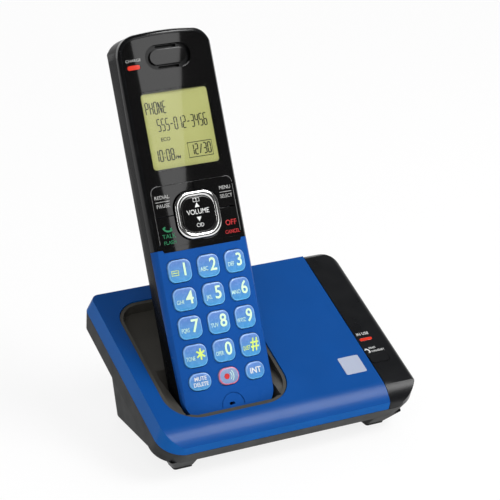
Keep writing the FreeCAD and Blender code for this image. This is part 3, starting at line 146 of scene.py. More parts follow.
def plastic(name, colour, rough=0.4, vary=0.12, grain=900.0, bump=0.05, coat=0.0, metal=0.0,
            spec=0.5, rough_vary=0.06, coat_rough=0.05, emission=0.0):
    """Moulded material: faint cloudiness in the colour, an uneven gloss and a fine grain."""
    mat, tree, shader = nodes_of(name)
    dark = tuple(max(0.0, c * (1.0 - vary)) for c in colour)
    pale = tuple(min(1.0, c * (1.0 + vary)) for c in colour)
    cloud = colours(tree, noise(tree, CLOUD_SCALE, 1.0), dark, pale, 0.1, 0.9)
    link(tree, cloud, shader.inputs["Base Color"])
    gloss = spread(tree, noise(tree, GLOSS_SCALE, 1.0), max(rough - rough_vary, 0.02),
                   rough + rough_vary, 0.1, 0.9)
    link(tree, gloss, shader.inputs["Roughness"])
    bumps = tree.nodes.new("ShaderNodeBump")
    bumps.inputs["Strength"].default_value = bump
    bumps.inputs["Distance"].default_value = GRAIN_DEPTH
    link(tree, noise(tree, grain, 2.0), bumps.inputs["Height"])
    link(tree, bumps.outputs["Normal"], shader.inputs["Normal"])
    shader.inputs["Metallic"].default_value = metal
    shader.inputs["Specular IOR Level"].default_value = spec
    shader.inputs["Coat Weight"].default_value = coat
    shader.inputs["Coat Roughness"].default_value = coat_rough
    if emission:
        shader.inputs["Emission Color"].default_value = (*colour, 1.0)
        shader.inputs["Emission Strength"].default_value = emission
    return mat


BLUE = plastic("blue_shell", (0.0036, 0.064, 0.27), rough=0.30, vary=0.06, grain=420.0, bump=0.015,
               coat=0.05, coat_rough=0.16, rough_vary=0.03, spec=0.17)
# A lighter copy of the blue for the top shell's side faces: painted light
BLUE_SIDE_LIT = plastic("blue_side_painted_light", (0.0050, 0.098, 0.37), rough=0.30, vary=0.06, grain=420.0,
                    bump=0.015, rough_vary=0.03, spec=0.05)
BLUE_FACE = plastic("blue_face", (0.0075, 0.069, 0.29), rough=0.27, vary=0.06, grain=420.0,
                    bump=0.015, rough_vary=0.03, spec=0.06)
BLACK = plastic("black_satin", (0.0062, 0.0067, 0.0078), rough=0.30, vary=0.20, grain=700.0,
                bump=0.03, spec=0.30)
HOUSING = plastic("black_housing", (0.0048, 0.0050, 0.0056), rough=0.15, vary=0.20, grain=500.0,
                  bump=0.01, spec=0.40)
SHELL = plastic("black_base", (0.0105, 0.0115, 0.0118), rough=0.42, vary=0.20, grain=700.0,
                bump=0.04, spec=0.08)
# A darker, duller copy of black_back for the rear housing's front and sides: painted shade
REAR_PAINTED_SHADE = plastic("black_rear_painted_shade", (0.0050, 0.0053, 0.0060), rough=0.26, vary=0.20, grain=700.0,
               bump=0.02, spec=0.03)
BACK = plastic("black_back", (0.0090, 0.0095, 0.0105), rough=0.34, vary=0.20, grain=700.0,
               bump=0.04, spec=0.30)
GLOSS = plastic("black_gloss", (0.0032, 0.0031, 0.0032), rough=0.07, vary=0.25, grain=400.0,
                bump=0.002, coat=0.5, rough_vary=0.02, coat_rough=0.03)
LINER = plastic("cradle_dark", (0.056, 0.053, 0.046), rough=0.45, vary=0.15, grain=800.0, spec=0.3)
RUBBER = plastic("pad_rubber", (0.010, 0.010, 0.010), rough=0.75, vary=0.3, grain=2200.0, bump=0.3)
CHROME = plastic("bright_ring", (0.84, 0.84, 0.83), rough=0.12, vary=0.03, grain=400.0, bump=0.002,
                 metal=1.0, rough_vary=0.02)
# Grey metal for the line round the control panel: a painted highlight on the panel's edge
EDGE_HIGHLIGHT_GREY = plastic("edge_painted_highlight", (0.30, 0.30, 0.30), rough=0.28, vary=0.08, bump=0.02, metal=0.6)
STEEL = plastic("screw_steel", (0.42, 0.42, 0.43), rough=0.32, grain=1500.0, bump=0.12, metal=1.0)
GOLD = plastic("contact_plate", (0.78, 0.56, 0.24), rough=0.25, vary=0.1, grain=1500.0, bump=0.08,
               metal=1.0)
BOARD = plastic("circuit_board", (0.012, 0.11, 0.045), vary=0.35, grain=700.0, bump=0.2)
SILICONE = plastic("keypad_silicone", (0.16, 0.17, 0.20), rough=0.6, vary=0.15, bump=0.1)
WHITE = plastic("lamp_box_white", (0.72, 0.72, 0.70), rough=0.5, vary=0.06)
CELLS = plastic("cell_wrap", (0.02, 0.16, 0.08), rough=0.28, vary=0.2, grain=800.0, bump=0.03,
                coat=0.4)
LABEL = plastic("blank_paper", (0.37, 0.41, 0.52), rough=0.5, vary=0.05, grain=2500.0, bump=0.06)
# The red windows glow faintly: a painted glow
RED_LENS = plastic("red_window", (0.62, 0.035, 0.018), rough=0.15, grain=500.0, bump=0.01, coat=0.3,
                   emission=0.05)


def ink(name, colour, rough=0.4, vary=0.05, emission=0.0):
    """Printing ink: an even, slightly grainy film."""
    return plastic(name, colour, rough, vary, 1500.0, 0.02, emission=emission)


PRINT = ink("pale_print", (0.72, 0.73, 0.72), 0.45, 0.04)
PRINT_SOFT = ink("grey_print", (0.42, 0.42, 0.41), 0.45)
PRINT_GREEN = ink("green_print", (0.012, 0.19, 0.075), vary=0.12)
PRINT_RED = ink("red_print", (0.55, 0.020, 0.022), vary=0.1)
# The key prints glow faintly: a painted glow
PRINT_KEY = ink("key_print", (0.62, 0.86, 0.56), emission=0.06)
PRINT_YELLOW = ink("yellow_print", (0.62, 0.78, 0.16), vary=0.06, emission=0.05)
PRINT_SMALL = ink("key_print_small", (0.50, 0.74, 0.68), vary=0.06)
INK = ink("display_ink", (0.016, 0.022, 0.012), 0.5, 0.2)


def display_material():
    """Yellow-green display: a painted glow makes up for the light that the window holds back; faintly
    cloudy, with a fine grain in its gloss.
    """
    mat, tree, shader = nodes_of("display_green")
    tint = colours(tree, noise(tree, 38.0, 1.0), (0.60, 0.62, 0.20), (0.68, 0.70, 0.26), 0.35, 0.65)
    link(tree, tint, shader.inputs["Base Color"])
    link(tree, spread(tree, noise(tree, 900.0), 0.35, 0.5), shader.inputs["Roughness"])
    shader.inputs["Emission Strength"].default_value = 0.30
    shader.inputs["Emission Color"].default_value = (0.66, 0.68, 0.22, 1.0)
    return mat


def window_material():
    """Clear window: a thin smoke tint that lets the display show, with the gloss of the front."""
    mat, tree, shader = nodes_of("clear_window")
    shader.inputs["Alpha"].default_value = 0.22
    shader.inputs["Specular IOR Level"].default_value = 1.0
    shader.inputs["Coat Weight"].default_value = 1.0
    shader.inputs["Coat Roughness"].default_value = 0.02
    smoke = colours(tree, noise(tree, 60.0), (0.012, 0.013, 0.010), (0.018, 0.019, 0.015))
    link(tree, smoke, shader.inputs["Base Color"])
    link(tree, spread(tree, noise(tree, 200.0), 0.02, 0.05), shader.inputs["Roughness"])
    return mat


LCD = display_material()
WINDOW = window_material()

# Places of a colour mix node's sockets
MIX_FACTOR, MIX_FIRST, MIX_SECOND, MIX_RESULT = 0, 6, 7, 2


def painted_height_shading(tree, low, high):
    """Painted shading: colour that changes from a piece's foot to its top."""
    coords = tree.nodes.new("ShaderNodeTexCoord")
    split = tree.nodes.new("ShaderNodeSeparateXYZ")
    link(tree, coords.outputs["Generated"], split.inputs["Vector"])
    return colours(tree, split.outputs["Z"], low, high, 0.25, 0.95)


def key_material(name, low, high, painted_glow):
    """Milky key plastic, faintly cloudy, with painted light: painted shading from one colour low on
    the key to another towards its top, and a painted glow.
    """
    mat, tree, shader = nodes_of(name)
    mix = tree.nodes.new("ShaderNodeMix")
    mix.data_type = "RGBA"
    mix.blend_type = "MULTIPLY"
    mix.inputs[MIX_FACTOR].default_value = 0.35
    link(tree, painted_height_shading(tree, low, high), mix.inputs[MIX_FIRST])
    cloud = colours(tree, noise(tree, 260.0), (0.75, 0.78, 0.80), (1.0, 1.0, 1.0))
    link(tree, cloud, mix.inputs[MIX_SECOND])
    link(tree, mix.outputs[MIX_RESULT], shader.inputs["Base Color"])
    link(tree, spread(tree, noise(tree, 500.0), 0.22, 0.32), shader.inputs["Roughness"])
    shader.inputs["Coat Weight"].default_value = 0.3
    shader.inputs["Coat Roughness"].default_value = 0.12
    shader.inputs["Emission Color"].default_value = (*low, 1.0)
    shader.inputs["Emission Strength"].default_value = painted_glow
    return mat


# Every key material has the painted shading and the painted glow of key_material
KEY = key_material("key_blue", (0.050, 0.27, 0.56), (0.115, 0.22, 0.54), 0.06)
# The rim's paler colour is a painted highlight on the keys' edges
KEY_RIM_HIGHLIGHT = key_material("key_rim", (0.10, 0.40, 0.72), (0.26, 0.42, 0.76), 0.06)
KEY_GREY = key_material("key_grey", (0.16, 0.27, 0.48), (0.26, 0.33, 0.52), 0.03)
RIM_RED = key_material("key_rim_red", (0.72, 0.14, 0.22), (0.62, 0.20, 0.34), 0.05)


# Mesh helpers
def frame_body(node):
    """The name of the body that a CAD node belongs to."""
    for body, members in frame["record"]["behaviour"]["bodies"].items():
        if node in members:
            return body
    raise ValueError(node)


def new_object(name, mesh, body, mats, replaces=(), matrix=None):
    """A finished piece that rides with a body and may stand for CAD nodes."""
    if matrix is not None:
        mesh.transform(matrix)
    obj = bpy.data.objects.new(name, mesh)
    bpy.context.scene.collection.objects.link(obj)
    mesh.materials.clear()
    for mat in mats:
        mesh.materials.append(mat)
    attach(obj, body)
    for node in replaces:
        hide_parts(node)
    return obj


def apply_modifiers(obj):
    bpy.context.view_layer.update()
    graph = bpy.context.evaluated_depsgraph_get()
    mesh = bpy.data.meshes.new_from_object(obj.evaluated_get(graph))
    obj.modifiers.clear()
    obj.data = mesh


def smooth(mesh, degrees):
    """Smooth faces, sharp across edges that bend by more than the angle."""
    for face in mesh.polygons:
        face.use_smooth = True
    mesh.set_sharp_from_angle(angle=math.radians(degrees))


# How far a face may leave a crown like the front's and still get its normals: in millimetres,
# and as the cosine between both
CROWN_REACH, CROWN_ALONG = 0.012, 0.999


def crown_normals(obj):
    """Exact normals where a face lies parallel to the handset's crowned front."""
    mesh = obj.data
    back = HAND.inverted()
    turn = HAND.to_3x3().normalized()
    normals = [corner.vector.copy() for corner in mesh.corner_normals]
    places = [back @ vert.co for vert in mesh.vertices]
    for face in mesh.polygons:
        reach = [math.hypot(places[i].x, places[i].z + FACE_R) for i in face.vertices]
        if max(reach) - min(reach) > CROWN_REACH:
            continue
        middle = back @ face.center
        radial = Vector((middle.x, 0.0, middle.z + FACE_R)).normalized()
        if (turn @ radial).dot(face.normal) < CROWN_ALONG:
            continue
        for loop in face.loop_indices:
            spot = places[mesh.loops[loop].vertex_index]
            normals[loop] = turn @ Vector((spot.x, 0.0, spot.z + FACE_R)).normalized()
    mesh.normals_split_custom_set([tuple(n) for n in normals])


# Dressing: the distance in metres at which points join, and angles in degrees
JOIN, FLAT_ANGLE, BEVEL_ANGLE, SHARP_ANGLE = 2e-6, 0.3, 28.0, 30.0
# Own meshes: the distance in millimetres at which points join, and an angle in degrees
RING_JOIN, ROUND_ANGLE = 1e-4, 50.0


def round_edges(obj, width):
    """Rounds the sharp edges by a width in millimetres."""
    mod = obj.modifiers.new("edges", "BEVEL")
    mod.width = width * MM
    mod.segments = 2
    mod.limit_method = "ANGLE"
    mod.angle_limit = math.radians(BEVEL_ANGLE)
    mod.use_clamp_overlap = True
    mod.miter_outer = "MITER_ARC"
    apply_modifiers(obj)


def dress(node, mat, slot, bevel, crown):
    """A finished piece for a CAD node: its mesh joined up, flats merged, edges rounded."""
    mesh = frame["nodes"][node].data.copy()
    mesh.name = node + "_shape"
    work = bmesh.new()
    work.from_mesh(mesh)
    bmesh.ops.remove_doubles(work, verts=work.verts, dist=JOIN)
    bmesh.ops.dissolve_limit(work, angle_limit=math.radians(FLAT_ANGLE), verts=work.verts,
                             edges=work.edges, delimit=set())
    work.to_mesh(mesh)
    work.free()
    for layer in list(mesh.uv_layers):
        mesh.uv_layers.remove(layer)
    obj = new_object(node + "_piece", mesh, frame_body(node), [mat], (node,))
    if bevel:
        round_edges(obj, bevel)
    smooth(obj.data, SHARP_ANGLE)
    even = obj.modifiers.new("even", "WEIGHTED_NORMAL")
    even.keep_sharp = True
    apply_modifiers(obj)
    if crown:
        crown_normals(obj)
    return obj


def second_material(obj, mat, matrix, direction, limit):
    """Gives a piece's faces a second material where they turn away from a direction."""
    toward = matrix.to_3x3().normalized() @ Vector(direction)
    obj.data.materials.append(mat)
    for face in obj.data.polygons:
        if face.normal.dot(toward) < limit:
            face.material_index = 1


def from_rings(name, rings, capped=True):
    """A mesh from closed rings of points that are joined in order."""
    work = bmesh.new()
    rows = [[work.verts.new(p) for p in ring] for ring in rings]
    for low, high in zip(rows, rows[1:]):
        for i in range(len(low)):
            j = (i + 1) % len(low)
            work.faces.new((low[i], low[j], high[j], high[i]))
    if capped:
        work.faces.new(list(reversed(rows[0])))
        work.faces.new(rows[-1])
    bmesh.ops.remove_doubles(work, verts=work.verts, dist=RING_JOIN)
    bmesh.ops.recalc_face_normals(work, faces=work.faces)
    mesh = bpy.data.meshes.new(name)
    work.to_mesh(mesh)
    work.free()
    return mesh


def rounded_loop(x, y, wide, tall, radius, steps):
    """Points round a rounded rectangle, counterclockwise from its right low corner."""
    radius = min(radius, wide / 2 - RING_JOIN, tall / 2 - RING_JOIN)
    points = []
    for side_x, side_y, start in ((1, -1, -90), (1, 1, 0), (-1, 1, 90), (-1, -1, 180)):
        centre_x = x + side_x * (wide / 2 - radius)
        centre_y = y + side_y * (tall / 2 - radius)
        for step in range(steps + 1):
            a = math.radians(start + 90.0 * step / steps)
            points.append((centre_x + radius * math.cos(a), centre_y + radius * math.sin(a)))
    return points


def arc(cx, cy, r, start, end, steps):
    """Points along a circle between two angles in degrees."""
    turns = [math.radians(start + (end - start) * i / steps) for i in range(steps + 1)]
    return [(cx + r * math.cos(a), cy + r * math.sin(a)) for a in turns]


def box_path(x, y, wide, tall):
    return [(x - wide / 2, y - tall / 2), (x + wide / 2, y - tall / 2),
            (x + wide / 2, y + tall / 2), (x - wide / 2, y + tall / 2)]


def face_w(u, depth=0.0):
    """Height of the handset's face at u, less a depth."""
    r = FACE_R - depth
    return math.sqrt(r * r - u * u) - FACE_R


# Printing
def text_mesh(text, size, bold):
    """Flat letters as a mesh, centred on the origin."""
    curve = bpy.data.curves.new("words", "FONT")
    curve.body = text
    curve.size = size
    curve.align_x = "CENTER"
    curve.align_y = "CENTER"
    curve.offset = bold
    curve.resolution_u = 4
    temp = bpy.data.objects.new("words", curve)
    bpy.context.scene.collection.objects.link(temp)
    bpy.context.view_layer.update()
    graph = bpy.context.evaluated_depsgraph_get()
    mesh = bpy.data.meshes.new_from_object(temp.evaluated_get(graph))
    bpy.data.objects.remove(temp)
    return mesh


def add_words(work, text, x, y, size, squeeze, bold):
    """Flat letters, centred at x and y and narrowed by the squeeze."""
    shape = text_mesh(text, size, bold)
    spots = [work.verts.new((x + vert.co.x * squeeze, y + vert.co.y, 0.0))
             for vert in shape.vertices]
    for face in shape.polygons:
        work.faces.new([spots[i] for i in face.vertices])
    bpy.data.meshes.remove(shape)


def add_line(work, path, width, closed):
    """A flat band of a width along a path."""
    points = [Vector((p[0], p[1])) for p in path]
    count = len(points)
    rows = []
    for i, p in enumerate(points):
        before = points[i - 1] if i > 0 or closed else p
        after = points[(i + 1) % count] if i < count - 1 or closed else p
        along = (after - before).normalized()
        side = Vector((-along.y, along.x)) * (width / 2.0)
        rows.append([work.verts.new((*(p + side), 0.0)), work.verts.new((*(p - side), 0.0))])
    for i in range(count if closed else count - 1):
        one, two = rows[i], rows[(i + 1) % count]
        work.faces.new((one[0], one[1], two[1], two[0]))


def printed(name, body, mat, surface, thick, words=(), lines=(), fills=(), matrix=HAND):
    """Printing in one piece: words, lines of a width and filled outlines, laid on a surface
    that is a height or a function of the place."""
    work = bmesh.new()
    for word in words:
        add_words(work, *word)
    for line in lines:
        add_line(work, *line)
    for outline in fills:
        work.faces.new([work.verts.new((p[0], p[1], 0.0)) for p in outline])
    for face in work.faces:
        face.normal_update()
        if face.normal.z < 0:
            face.normal_flip()
    grown = bmesh.ops.extrude_face_region(work, geom=list(work.faces))
    tops = {item for item in grown["geom"] if isinstance(item, bmesh.types.BMVert)}
    for vert in work.verts:
        level = surface(vert.co.x) if callable(surface) else surface
        vert.co.z = level + (thick / 2.0 if vert in tops else -thick / 2.0)
    bmesh.ops.recalc_face_normals(work, faces=work.faces)
    mesh = bpy.data.meshes.new(name)
    work.to_mesh(mesh)
    work.free()
    return new_object(name, mesh, body, [mat], (), matrix)


# Keys: a body that follows the face, a thin rim round its top that is painted paler on most keys as a
# highlight, and a slightly dished crown
KEY_PROUD, KEY_FOOT, KEY_CORNER_STEPS = 0.9, -6.5, 7
COLUMN, ROW, FIRST, LAST_ROW = 13.32, 12.5, 68.0, 19.1
KEY_WIDE, KEY_TALL, KEY_ROUND = 10.3, 10.0, 3.0
SMALL_WIDE, SMALL_TALL, SMALL_ROUND = 9.8, 7.6, 3.5
# Rings of a key from its side to its crown: how far in, and the height from its top edge
KEY_RINGS = ((0.0, -0.85), (0.04, -0.50), (0.16, -0.24), (0.36, -0.08), (0.56, -0.02), (0.85, 0.0),
             (1.3, -0.02), (2.3, -0.08), (3.4, -0.12))
# Bands between rings, counted from the foot, that have the rim's colour: a painted highlight on most
# keys
RIM_BANDS = range(2, 5)


def key_piece(name, x, y, wide, tall, radius, mats):
    """A raised key for the CAD node and body of its name."""
    foot = rounded_loop(x, y, wide, tall, radius, KEY_CORNER_STEPS)
    rings = [[(u, v, KEY_FOOT) for u, v in foot]]
    for inset, drop in KEY_RINGS:
        loop = rounded_loop(x, y, wide - 2 * inset, tall - 2 * inset,
                            max(radius - inset * 0.8, 0.6), KEY_CORNER_STEPS)
        rings.append([(u, v, face_w(u, -KEY_PROUD) + drop) for u, v in loop])
    mesh = from_rings(name, rings)
    new_object(name + "_piece", mesh, name, mats, (name,), HAND)
    for index, face in enumerate(mesh.polygons):
        face.material_index = 1 if index // len(rings[0]) in RIM_BANDS else 0
    smooth(mesh, ROUND_ANGLE)


def on_key(u):
    """The middle of the print on a key: from the dished crown to just over the key's edge."""
    return face_w(u, -KEY_PROUD) - 0.05


KEY_PRINT = 0.16
KEYS = (
    ("1", "1", ""), ("2", "2", "ABC"), ("3", "3", "DEF"), ("4", "4", "GHI"), ("5", "5", "JKL"),
    ("6", "6", "MNO"), ("7", "7", "PQRS"), ("8", "8", "TUV"), ("9", "9", "WXYZ"),
    ("star", "*", "TONE"), ("0", "0", "OPER"), ("hash", "#", "QUIET"),
)
DIGIT_X, DIGIT_Y, DIGIT_SIZE = 2.0, 0.2, 8.0
LETTERS_X, LETTERS_Y, LETTERS_SIZE = -2.45, -1.1, 2.6
SQUEEZE = {3: 0.74, 4: 0.58, 5: 0.50}


def star(x, y):
    """Three bars that cross: the star key's sign."""
    bars = []
    for degrees in (90, 32, 148):
        a = math.radians(degrees)
        bars.append(([(x - 2.1 * math.cos(a), y - 2.5 * math.sin(a)),
                      (x + 2.1 * math.cos(a), y + 2.5 * math.sin(a))], 0.75, False))
    return bars


for index, (label, digit, letters) in enumerate(KEYS):
    x, y = COLUMN * (index % 3 - 1), FIRST - ROW * (index // 3)
    key = "key_" + label
    key_piece(key, x, y, KEY_WIDE, KEY_TALL, KEY_ROUND, (KEY, KEY_RIM_HIGHLIGHT))
    if digit == "*":
        printed("digit_star", key, PRINT_YELLOW, on_key, KEY_PRINT, lines=star(x + 2.2, y + 0.4))
    else:
        printed("digit_" + label, key, PRINT_YELLOW if digit == "#" else PRINT_KEY, on_key,
                KEY_PRINT, words=[(digit, x + DIGIT_X, y + DIGIT_Y, DIGIT_SIZE, 0.88, 0.10)])
    if letters:
        printed("letters_" + label, key, PRINT_SMALL if digit != "#" else PRINT_YELLOW, on_key,
                KEY_PRINT, words=[(letters, x + LETTERS_X, y + LETTERS_Y, LETTERS_SIZE,
                                   SQUEEZE[len(letters)], 0.02)])
    else:
        printed("message_mark", key, PRINT_YELLOW, on_key, KEY_PRINT, lines=[
            (box_path(x - 2.4, y - 0.7, 3.0, 2.0), 0.32, True),
            ([(x - 3.6, y - 0.7), (x - 1.2, y - 0.7)], 0.36, False)])
for column, word, mats in ((-1, "mute", (KEY, KEY_RIM_HIGHLIGHT)), (0, "speaker", (KEY_GREY, RIM_RED)),
                           (1, "intercom", (KEY, KEY_RIM_HIGHLIGHT))):
    key_piece("key_" + word, COLUMN * column, LAST_ROW, SMALL_WIDE, SMALL_TALL, SMALL_ROUND, mats)
printed("words_mute", "key_mute", PRINT, on_key, KEY_PRINT, words=[
    ("MUTE", -COLUMN + 0.1, LAST_ROW + 1.25, 2.5, 0.86, 0.03),
    ("DELETE", -COLUMN, LAST_ROW - 1.25, 2.5, 0.80, 0.03)])
printed("words_intercom", "key_intercom", PRINT, on_key, KEY_PRINT,
        words=[("INT", COLUMN, LAST_ROW, 3.6, 1.0, 0.06)])
SPEAKER_X = -1.1
printed("speaker_dot", "key_speaker", PRINT_RED, on_key, KEY_PRINT,
        fills=[arc(SPEAKER_X, LAST_ROW, 1.25, 0, 345, 16)])
printed("speaker_waves", "key_speaker", PRINT_SMALL, on_key, KEY_PRINT,
        lines=[(arc(SPEAKER_X, LAST_ROW, radius, -42, 42, 8), 0.32, False) for radius in (2.3, 3.3)])

# Bright ring round the navigation key: a low round-topped band between two rounded squares
NAV_X, NAV_Y = -0.3, 91.0
OUTER, INNER, RING_ROUND, RING_FOOT, RING_LOW, RING_TOP = 20.9, 16.0, 7.0, -1.5, 0.15, 0.9
band = [(0.0, RING_FOOT)]
for step in range(13):
    part = step / 12.0
    band.append(((1.0 - math.cos(math.pi * part)) / 2.0,
                 RING_LOW + (RING_TOP - RING_LOW) * math.sin(math.pi * part)))
band += [(1.0, RING_FOOT), (0.0, RING_FOOT)]
loops = []
for part, level in band:
    wide = OUTER + (INNER - OUTER) * part
    loop = rounded_loop(NAV_X, NAV_Y, wide, wide, RING_ROUND - 1.5 * part, 12)
    loops.append([(u, v, level) for u, v in loop])
ring_mesh = from_rings("nav_ring_band", loops, capped=False)
new_object("nav_ring_piece", ring_mesh, frame_body("nav_ring"), [CHROME], ("nav_ring",),
           HAND)
smooth(ring_mesh, ROUND_ANGLE)


# Words and marks of the front
def handset_mark(x, y, size, turn):
    """A receiver: the path of its bowed grip, and an outline for the pad at each end."""
    bow = arc(0.0, -0.75, 1.15, 150, 30, 10)
    pad = [(1.05, -0.05), (0.72, 0.12), (0.45, -0.35), (0.80, -0.55)]
    pads = ([(-u, v) for u, v in pad], pad)
    c, s = math.cos(math.radians(turn)), math.sin(math.radians(turn))

    def place(p):
        return (x + size * (p[0] * c - p[1] * s), y + size * (p[0] * s + p[1] * c))

    return [place(p) for p in bow], [[place(p) for p in outline] for outline in pads]


NAV_TOP = 0.5
FACE_PRINT = 0.08
SOFT_X, SOFT_HIGH, SOFT_LOW, SOFT_LINE = 15.2, 100.7, 96.9, 98.8
printed("words_volume", "navigation", PRINT, NAV_TOP, FACE_PRINT, words=[
    ("VOLUME", NAV_X, NAV_Y + 1.0, 3.2, 0.86, 0.0), ("CID", NAV_X, NAV_Y - 4.9, 2.4, 0.90, 0.0)],
    lines=[(box_path(NAV_X + side * 0.75, NAV_Y + 6.3, 1.4, 1.5), 0.24, True) for side in (-1, 1)],
    fills=[[(NAV_X - 1.15, NAV_Y + 3.1), (NAV_X + 1.15, NAV_Y + 3.1), (NAV_X, NAV_Y + 5.1)],
           [(NAV_X - 1.15, NAV_Y - 1.2), (NAV_X + 1.15, NAV_Y - 1.2), (NAV_X, NAV_Y - 3.2)]])
for name, body, side, high, high_squeeze, low, low_squeeze in (
    ("words_redial", "redial_key", -1, "REDIAL", 0.88, "PAUSE", 0.90),
    ("words_menu", "menu_key", 1, "MENU", 0.95, "SELECT", 0.86),
):
    x = side * SOFT_X
    printed(name, body, PRINT_SOFT, face_w, FACE_PRINT, words=[
        (high, x, SOFT_HIGH, 2.3, high_squeeze, 0.0), (low, x, SOFT_LOW, 2.3, low_squeeze, 0.0)],
        lines=[([(x - 3.1, SOFT_LINE), (x + 3.1, SOFT_LINE)], 0.22, False)])
grip, pads = handset_mark(-SOFT_X, 86.6, 2.0, 163.0)
printed("words_talk", "talk_key", PRINT_GREEN, face_w, FACE_PRINT, words=[
    ("TALK", -15.0, 83.6, 2.6, 0.95, 0.0), ("FLASH", -15.0, 80.8, 2.2, 0.90, 0.0)],
    lines=[(grip, 0.75, False)], fills=pads)
printed("words_off", "off_key", PRINT_RED, face_w, FACE_PRINT, words=[
    ("OFF", SOFT_X, 85.0, 3.4, 1.0, 0.0), ("CANCEL", SOFT_X, 81.0, 2.3, 0.86, 0.0)])

# Grey line round the control panel, a painted highlight where the panel's edge catches the light: from
# its upper right corner over the top and down the left, then each side by itself
PANEL_Y, PANEL_WIDE, PANEL_TALL, PANEL_ROUND, CORNER_STEPS = 92.2, 39.0, 27.0, 3.0, 8
panel = rounded_loop(0.0, PANEL_Y, PANEL_WIDE, PANEL_TALL, PANEL_ROUND, CORNER_STEPS)
upper = panel[CORNER_STEPS + 1:3 * (CORNER_STEPS + 1) + 1]
side_x, side_top = PANEL_WIDE / 2, 102.0
printed("panel_edge_highlight", "handset", EDGE_HIGHLIGHT_GREY, face_w, FACE_PRINT, lines=[
    (upper, 0.26, False), ([(side_x, 81.0), (side_x, side_top)], 0.26, False),
    ([(-side_x, side_top), (-side_x, 80.5)], 0.26, False)])
printed("words_charge", "handset", PRINT_SOFT, face_w, 0.06,
        words=[("CHARGE", -16.6, 161.3, 1.7, 1.0, 0.0)])


# Display: seven-bar figures and a few letters, each bar between two points of a unit box
BARS = {"a": ((0, 1), (1, 1)), "b": ((1, 1), (1, 0.5)), "c": ((1, 0.5), (1, 0)), "d": ((1, 0), (0, 0)),
        "e": ((0, 0), (0, 0.5)), "f": ((0, 0.5), (0, 1)), "g": ((0, 0.5), (1, 0.5)),
        "n": ((0, 1), (1, 0)), "s": ((0, 0), (1, 1))}
SHAPES = {"0": "abcdef", "1": "bc", "2": "abged", "3": "abgcd", "4": "fgbc", "5": "afgcd",
          "6": "afgedc", "8": "abcdefg", "-": "g", "/": "s", "P": "abefg", "H": "bcefg",
          "O": "abcdef", "N": "efnbc", "E": "adefg"}
BAR_LENGTH = 0.90


def figures(text, left, low, wide, tall, pitch, width):
    """Lines for figures that start at left and stand on low."""
    lines = []
    x = left
    for char in text:
        if char == ":":
            for y in (low + 0.3 * tall, low + 0.7 * tall):
                lines.append(([(x - 0.1, y), (x + 0.25, y)], width * 1.3, False))
            x += pitch * 0.5
            continue
        for bar in SHAPES[char]:
            (ax, ay), (bx, by) = BARS[bar]
            mid_x, mid_y = (ax + bx) / 2, (ay + by) / 2
            ends = []
            for end_x, end_y in ((ax, ay), (bx, by)):
                ends.append((x + wide * (mid_x + (end_x - mid_x) * BAR_LENGTH),
                             low + tall * (mid_y + (end_y - mid_y) * BAR_LENGTH)))
            lines.append((ends, width, False))
        x += pitch
    return lines


DISPLAY_W = -2.70
ink_lines = figures("PHONE", -14.6, 137.1, 1.30, 5.2, 2.05, 0.46)
ink_lines += figures("555-012-3456", -10.4, 129.4, 1.30, 5.2, 2.02, 0.46)
ink_lines += figures("10:08", -14.0, 116.3, 1.35, 4.8, 2.15, 0.48)
ink_lines += figures("12/30", 3.2, 117.1, 1.30, 4.5, 2.05, 0.48)
ink_lines.append((box_path(7.7, 119.3, 11.6, 6.6), 0.36, True))
printed("display_figures", "handset", INK, DISPLAY_W, 0.05, lines=ink_lines, words=[
    ("ECO", -7.8, 125.6, 2.3, 1.0, 0.03), ("PM", -3.4, 117.0, 2.1, 0.95, 0.03)])

# Words on the base's end cap
CAP_TOP = BASE_TOP + 0.01
printed("words_in_use", "base", PRINT, CAP_TOP, 0.06,
        words=[("IN USE", 51.4, 39.3, 2.2, 0.96, 0.0)], matrix=TRAY)
grip, pads = handset_mark(48.9, 28.9, 1.5, -55.0)
printed("words_find", "base", PRINT, CAP_TOP, 0.06, words=[
    ("FIND", 51.8, 30.1, 1.6, 1.0, 0.0), ("HANDSET", 53.9, 28.0, 1.6, 0.95, 0.0)],
    lines=[(grip, 0.6, False)], fills=pads, matrix=TRAY)

# CAD nodes dressed: the same shape with rounded edges, and exact normals on the crowned front
DRESSED = {
    "base_top_shell": (BLUE, "blue_shell", 0.3, False),
    "base_end_cap": (BLACK, "black_shell", 0.25, False),
    "base_bottom_shell": (SHELL, "black_shell", 0.3, False),
    "cradle_liner": (LINER, "liner", 0.25, False),
    "upper_front_housing": (HOUSING, "black_shell", 0.2, True),
    "lower_faceplate": (BLUE_FACE, "blue_shell", 0.2, True),
    "faceplate": (GLOSS, "black_gloss", 0.2, True),
    "rear_housing": (REAR_PAINTED_SHADE, "black_shell", 0.25, True),
    "battery_door": (BACK, "black_shell", 0.2, False),
    "redial_key": (GLOSS, "black_gloss", 0.15, True),
    "menu_key": (GLOSS, "black_gloss", 0.15, True),
    "talk_key": (GLOSS, "black_gloss", 0.15, True),
    "off_key": (GLOSS, "black_gloss", 0.15, True),
    "earpiece_bar": (GLOSS, "black_gloss", 0.3, True),
    "nav_key": (GLOSS, "black_gloss", 0.2, True),
    "find_button": (BLACK, "black_shell", 0.2, False),
    "in_use_light": (RED_LENS, "red_clear", 0.15, False),
    "blank_label": (LABEL, "label", 0.05, False),
    "charge_light": (RED_LENS, "red_clear", 0.1, False),
    "display_window": (WINDOW, "clear_window", 0.0, True),
}
pieces = {node: dress(node, *looks) for node, looks in DRESSED.items()}
# The top shell's side faces take the lighter copy of its blue: painted light
second_material(pieces["base_top_shell"], BLUE_SIDE_LIT, TRAY, (0.0, 0.0, 1.0), 0.45)
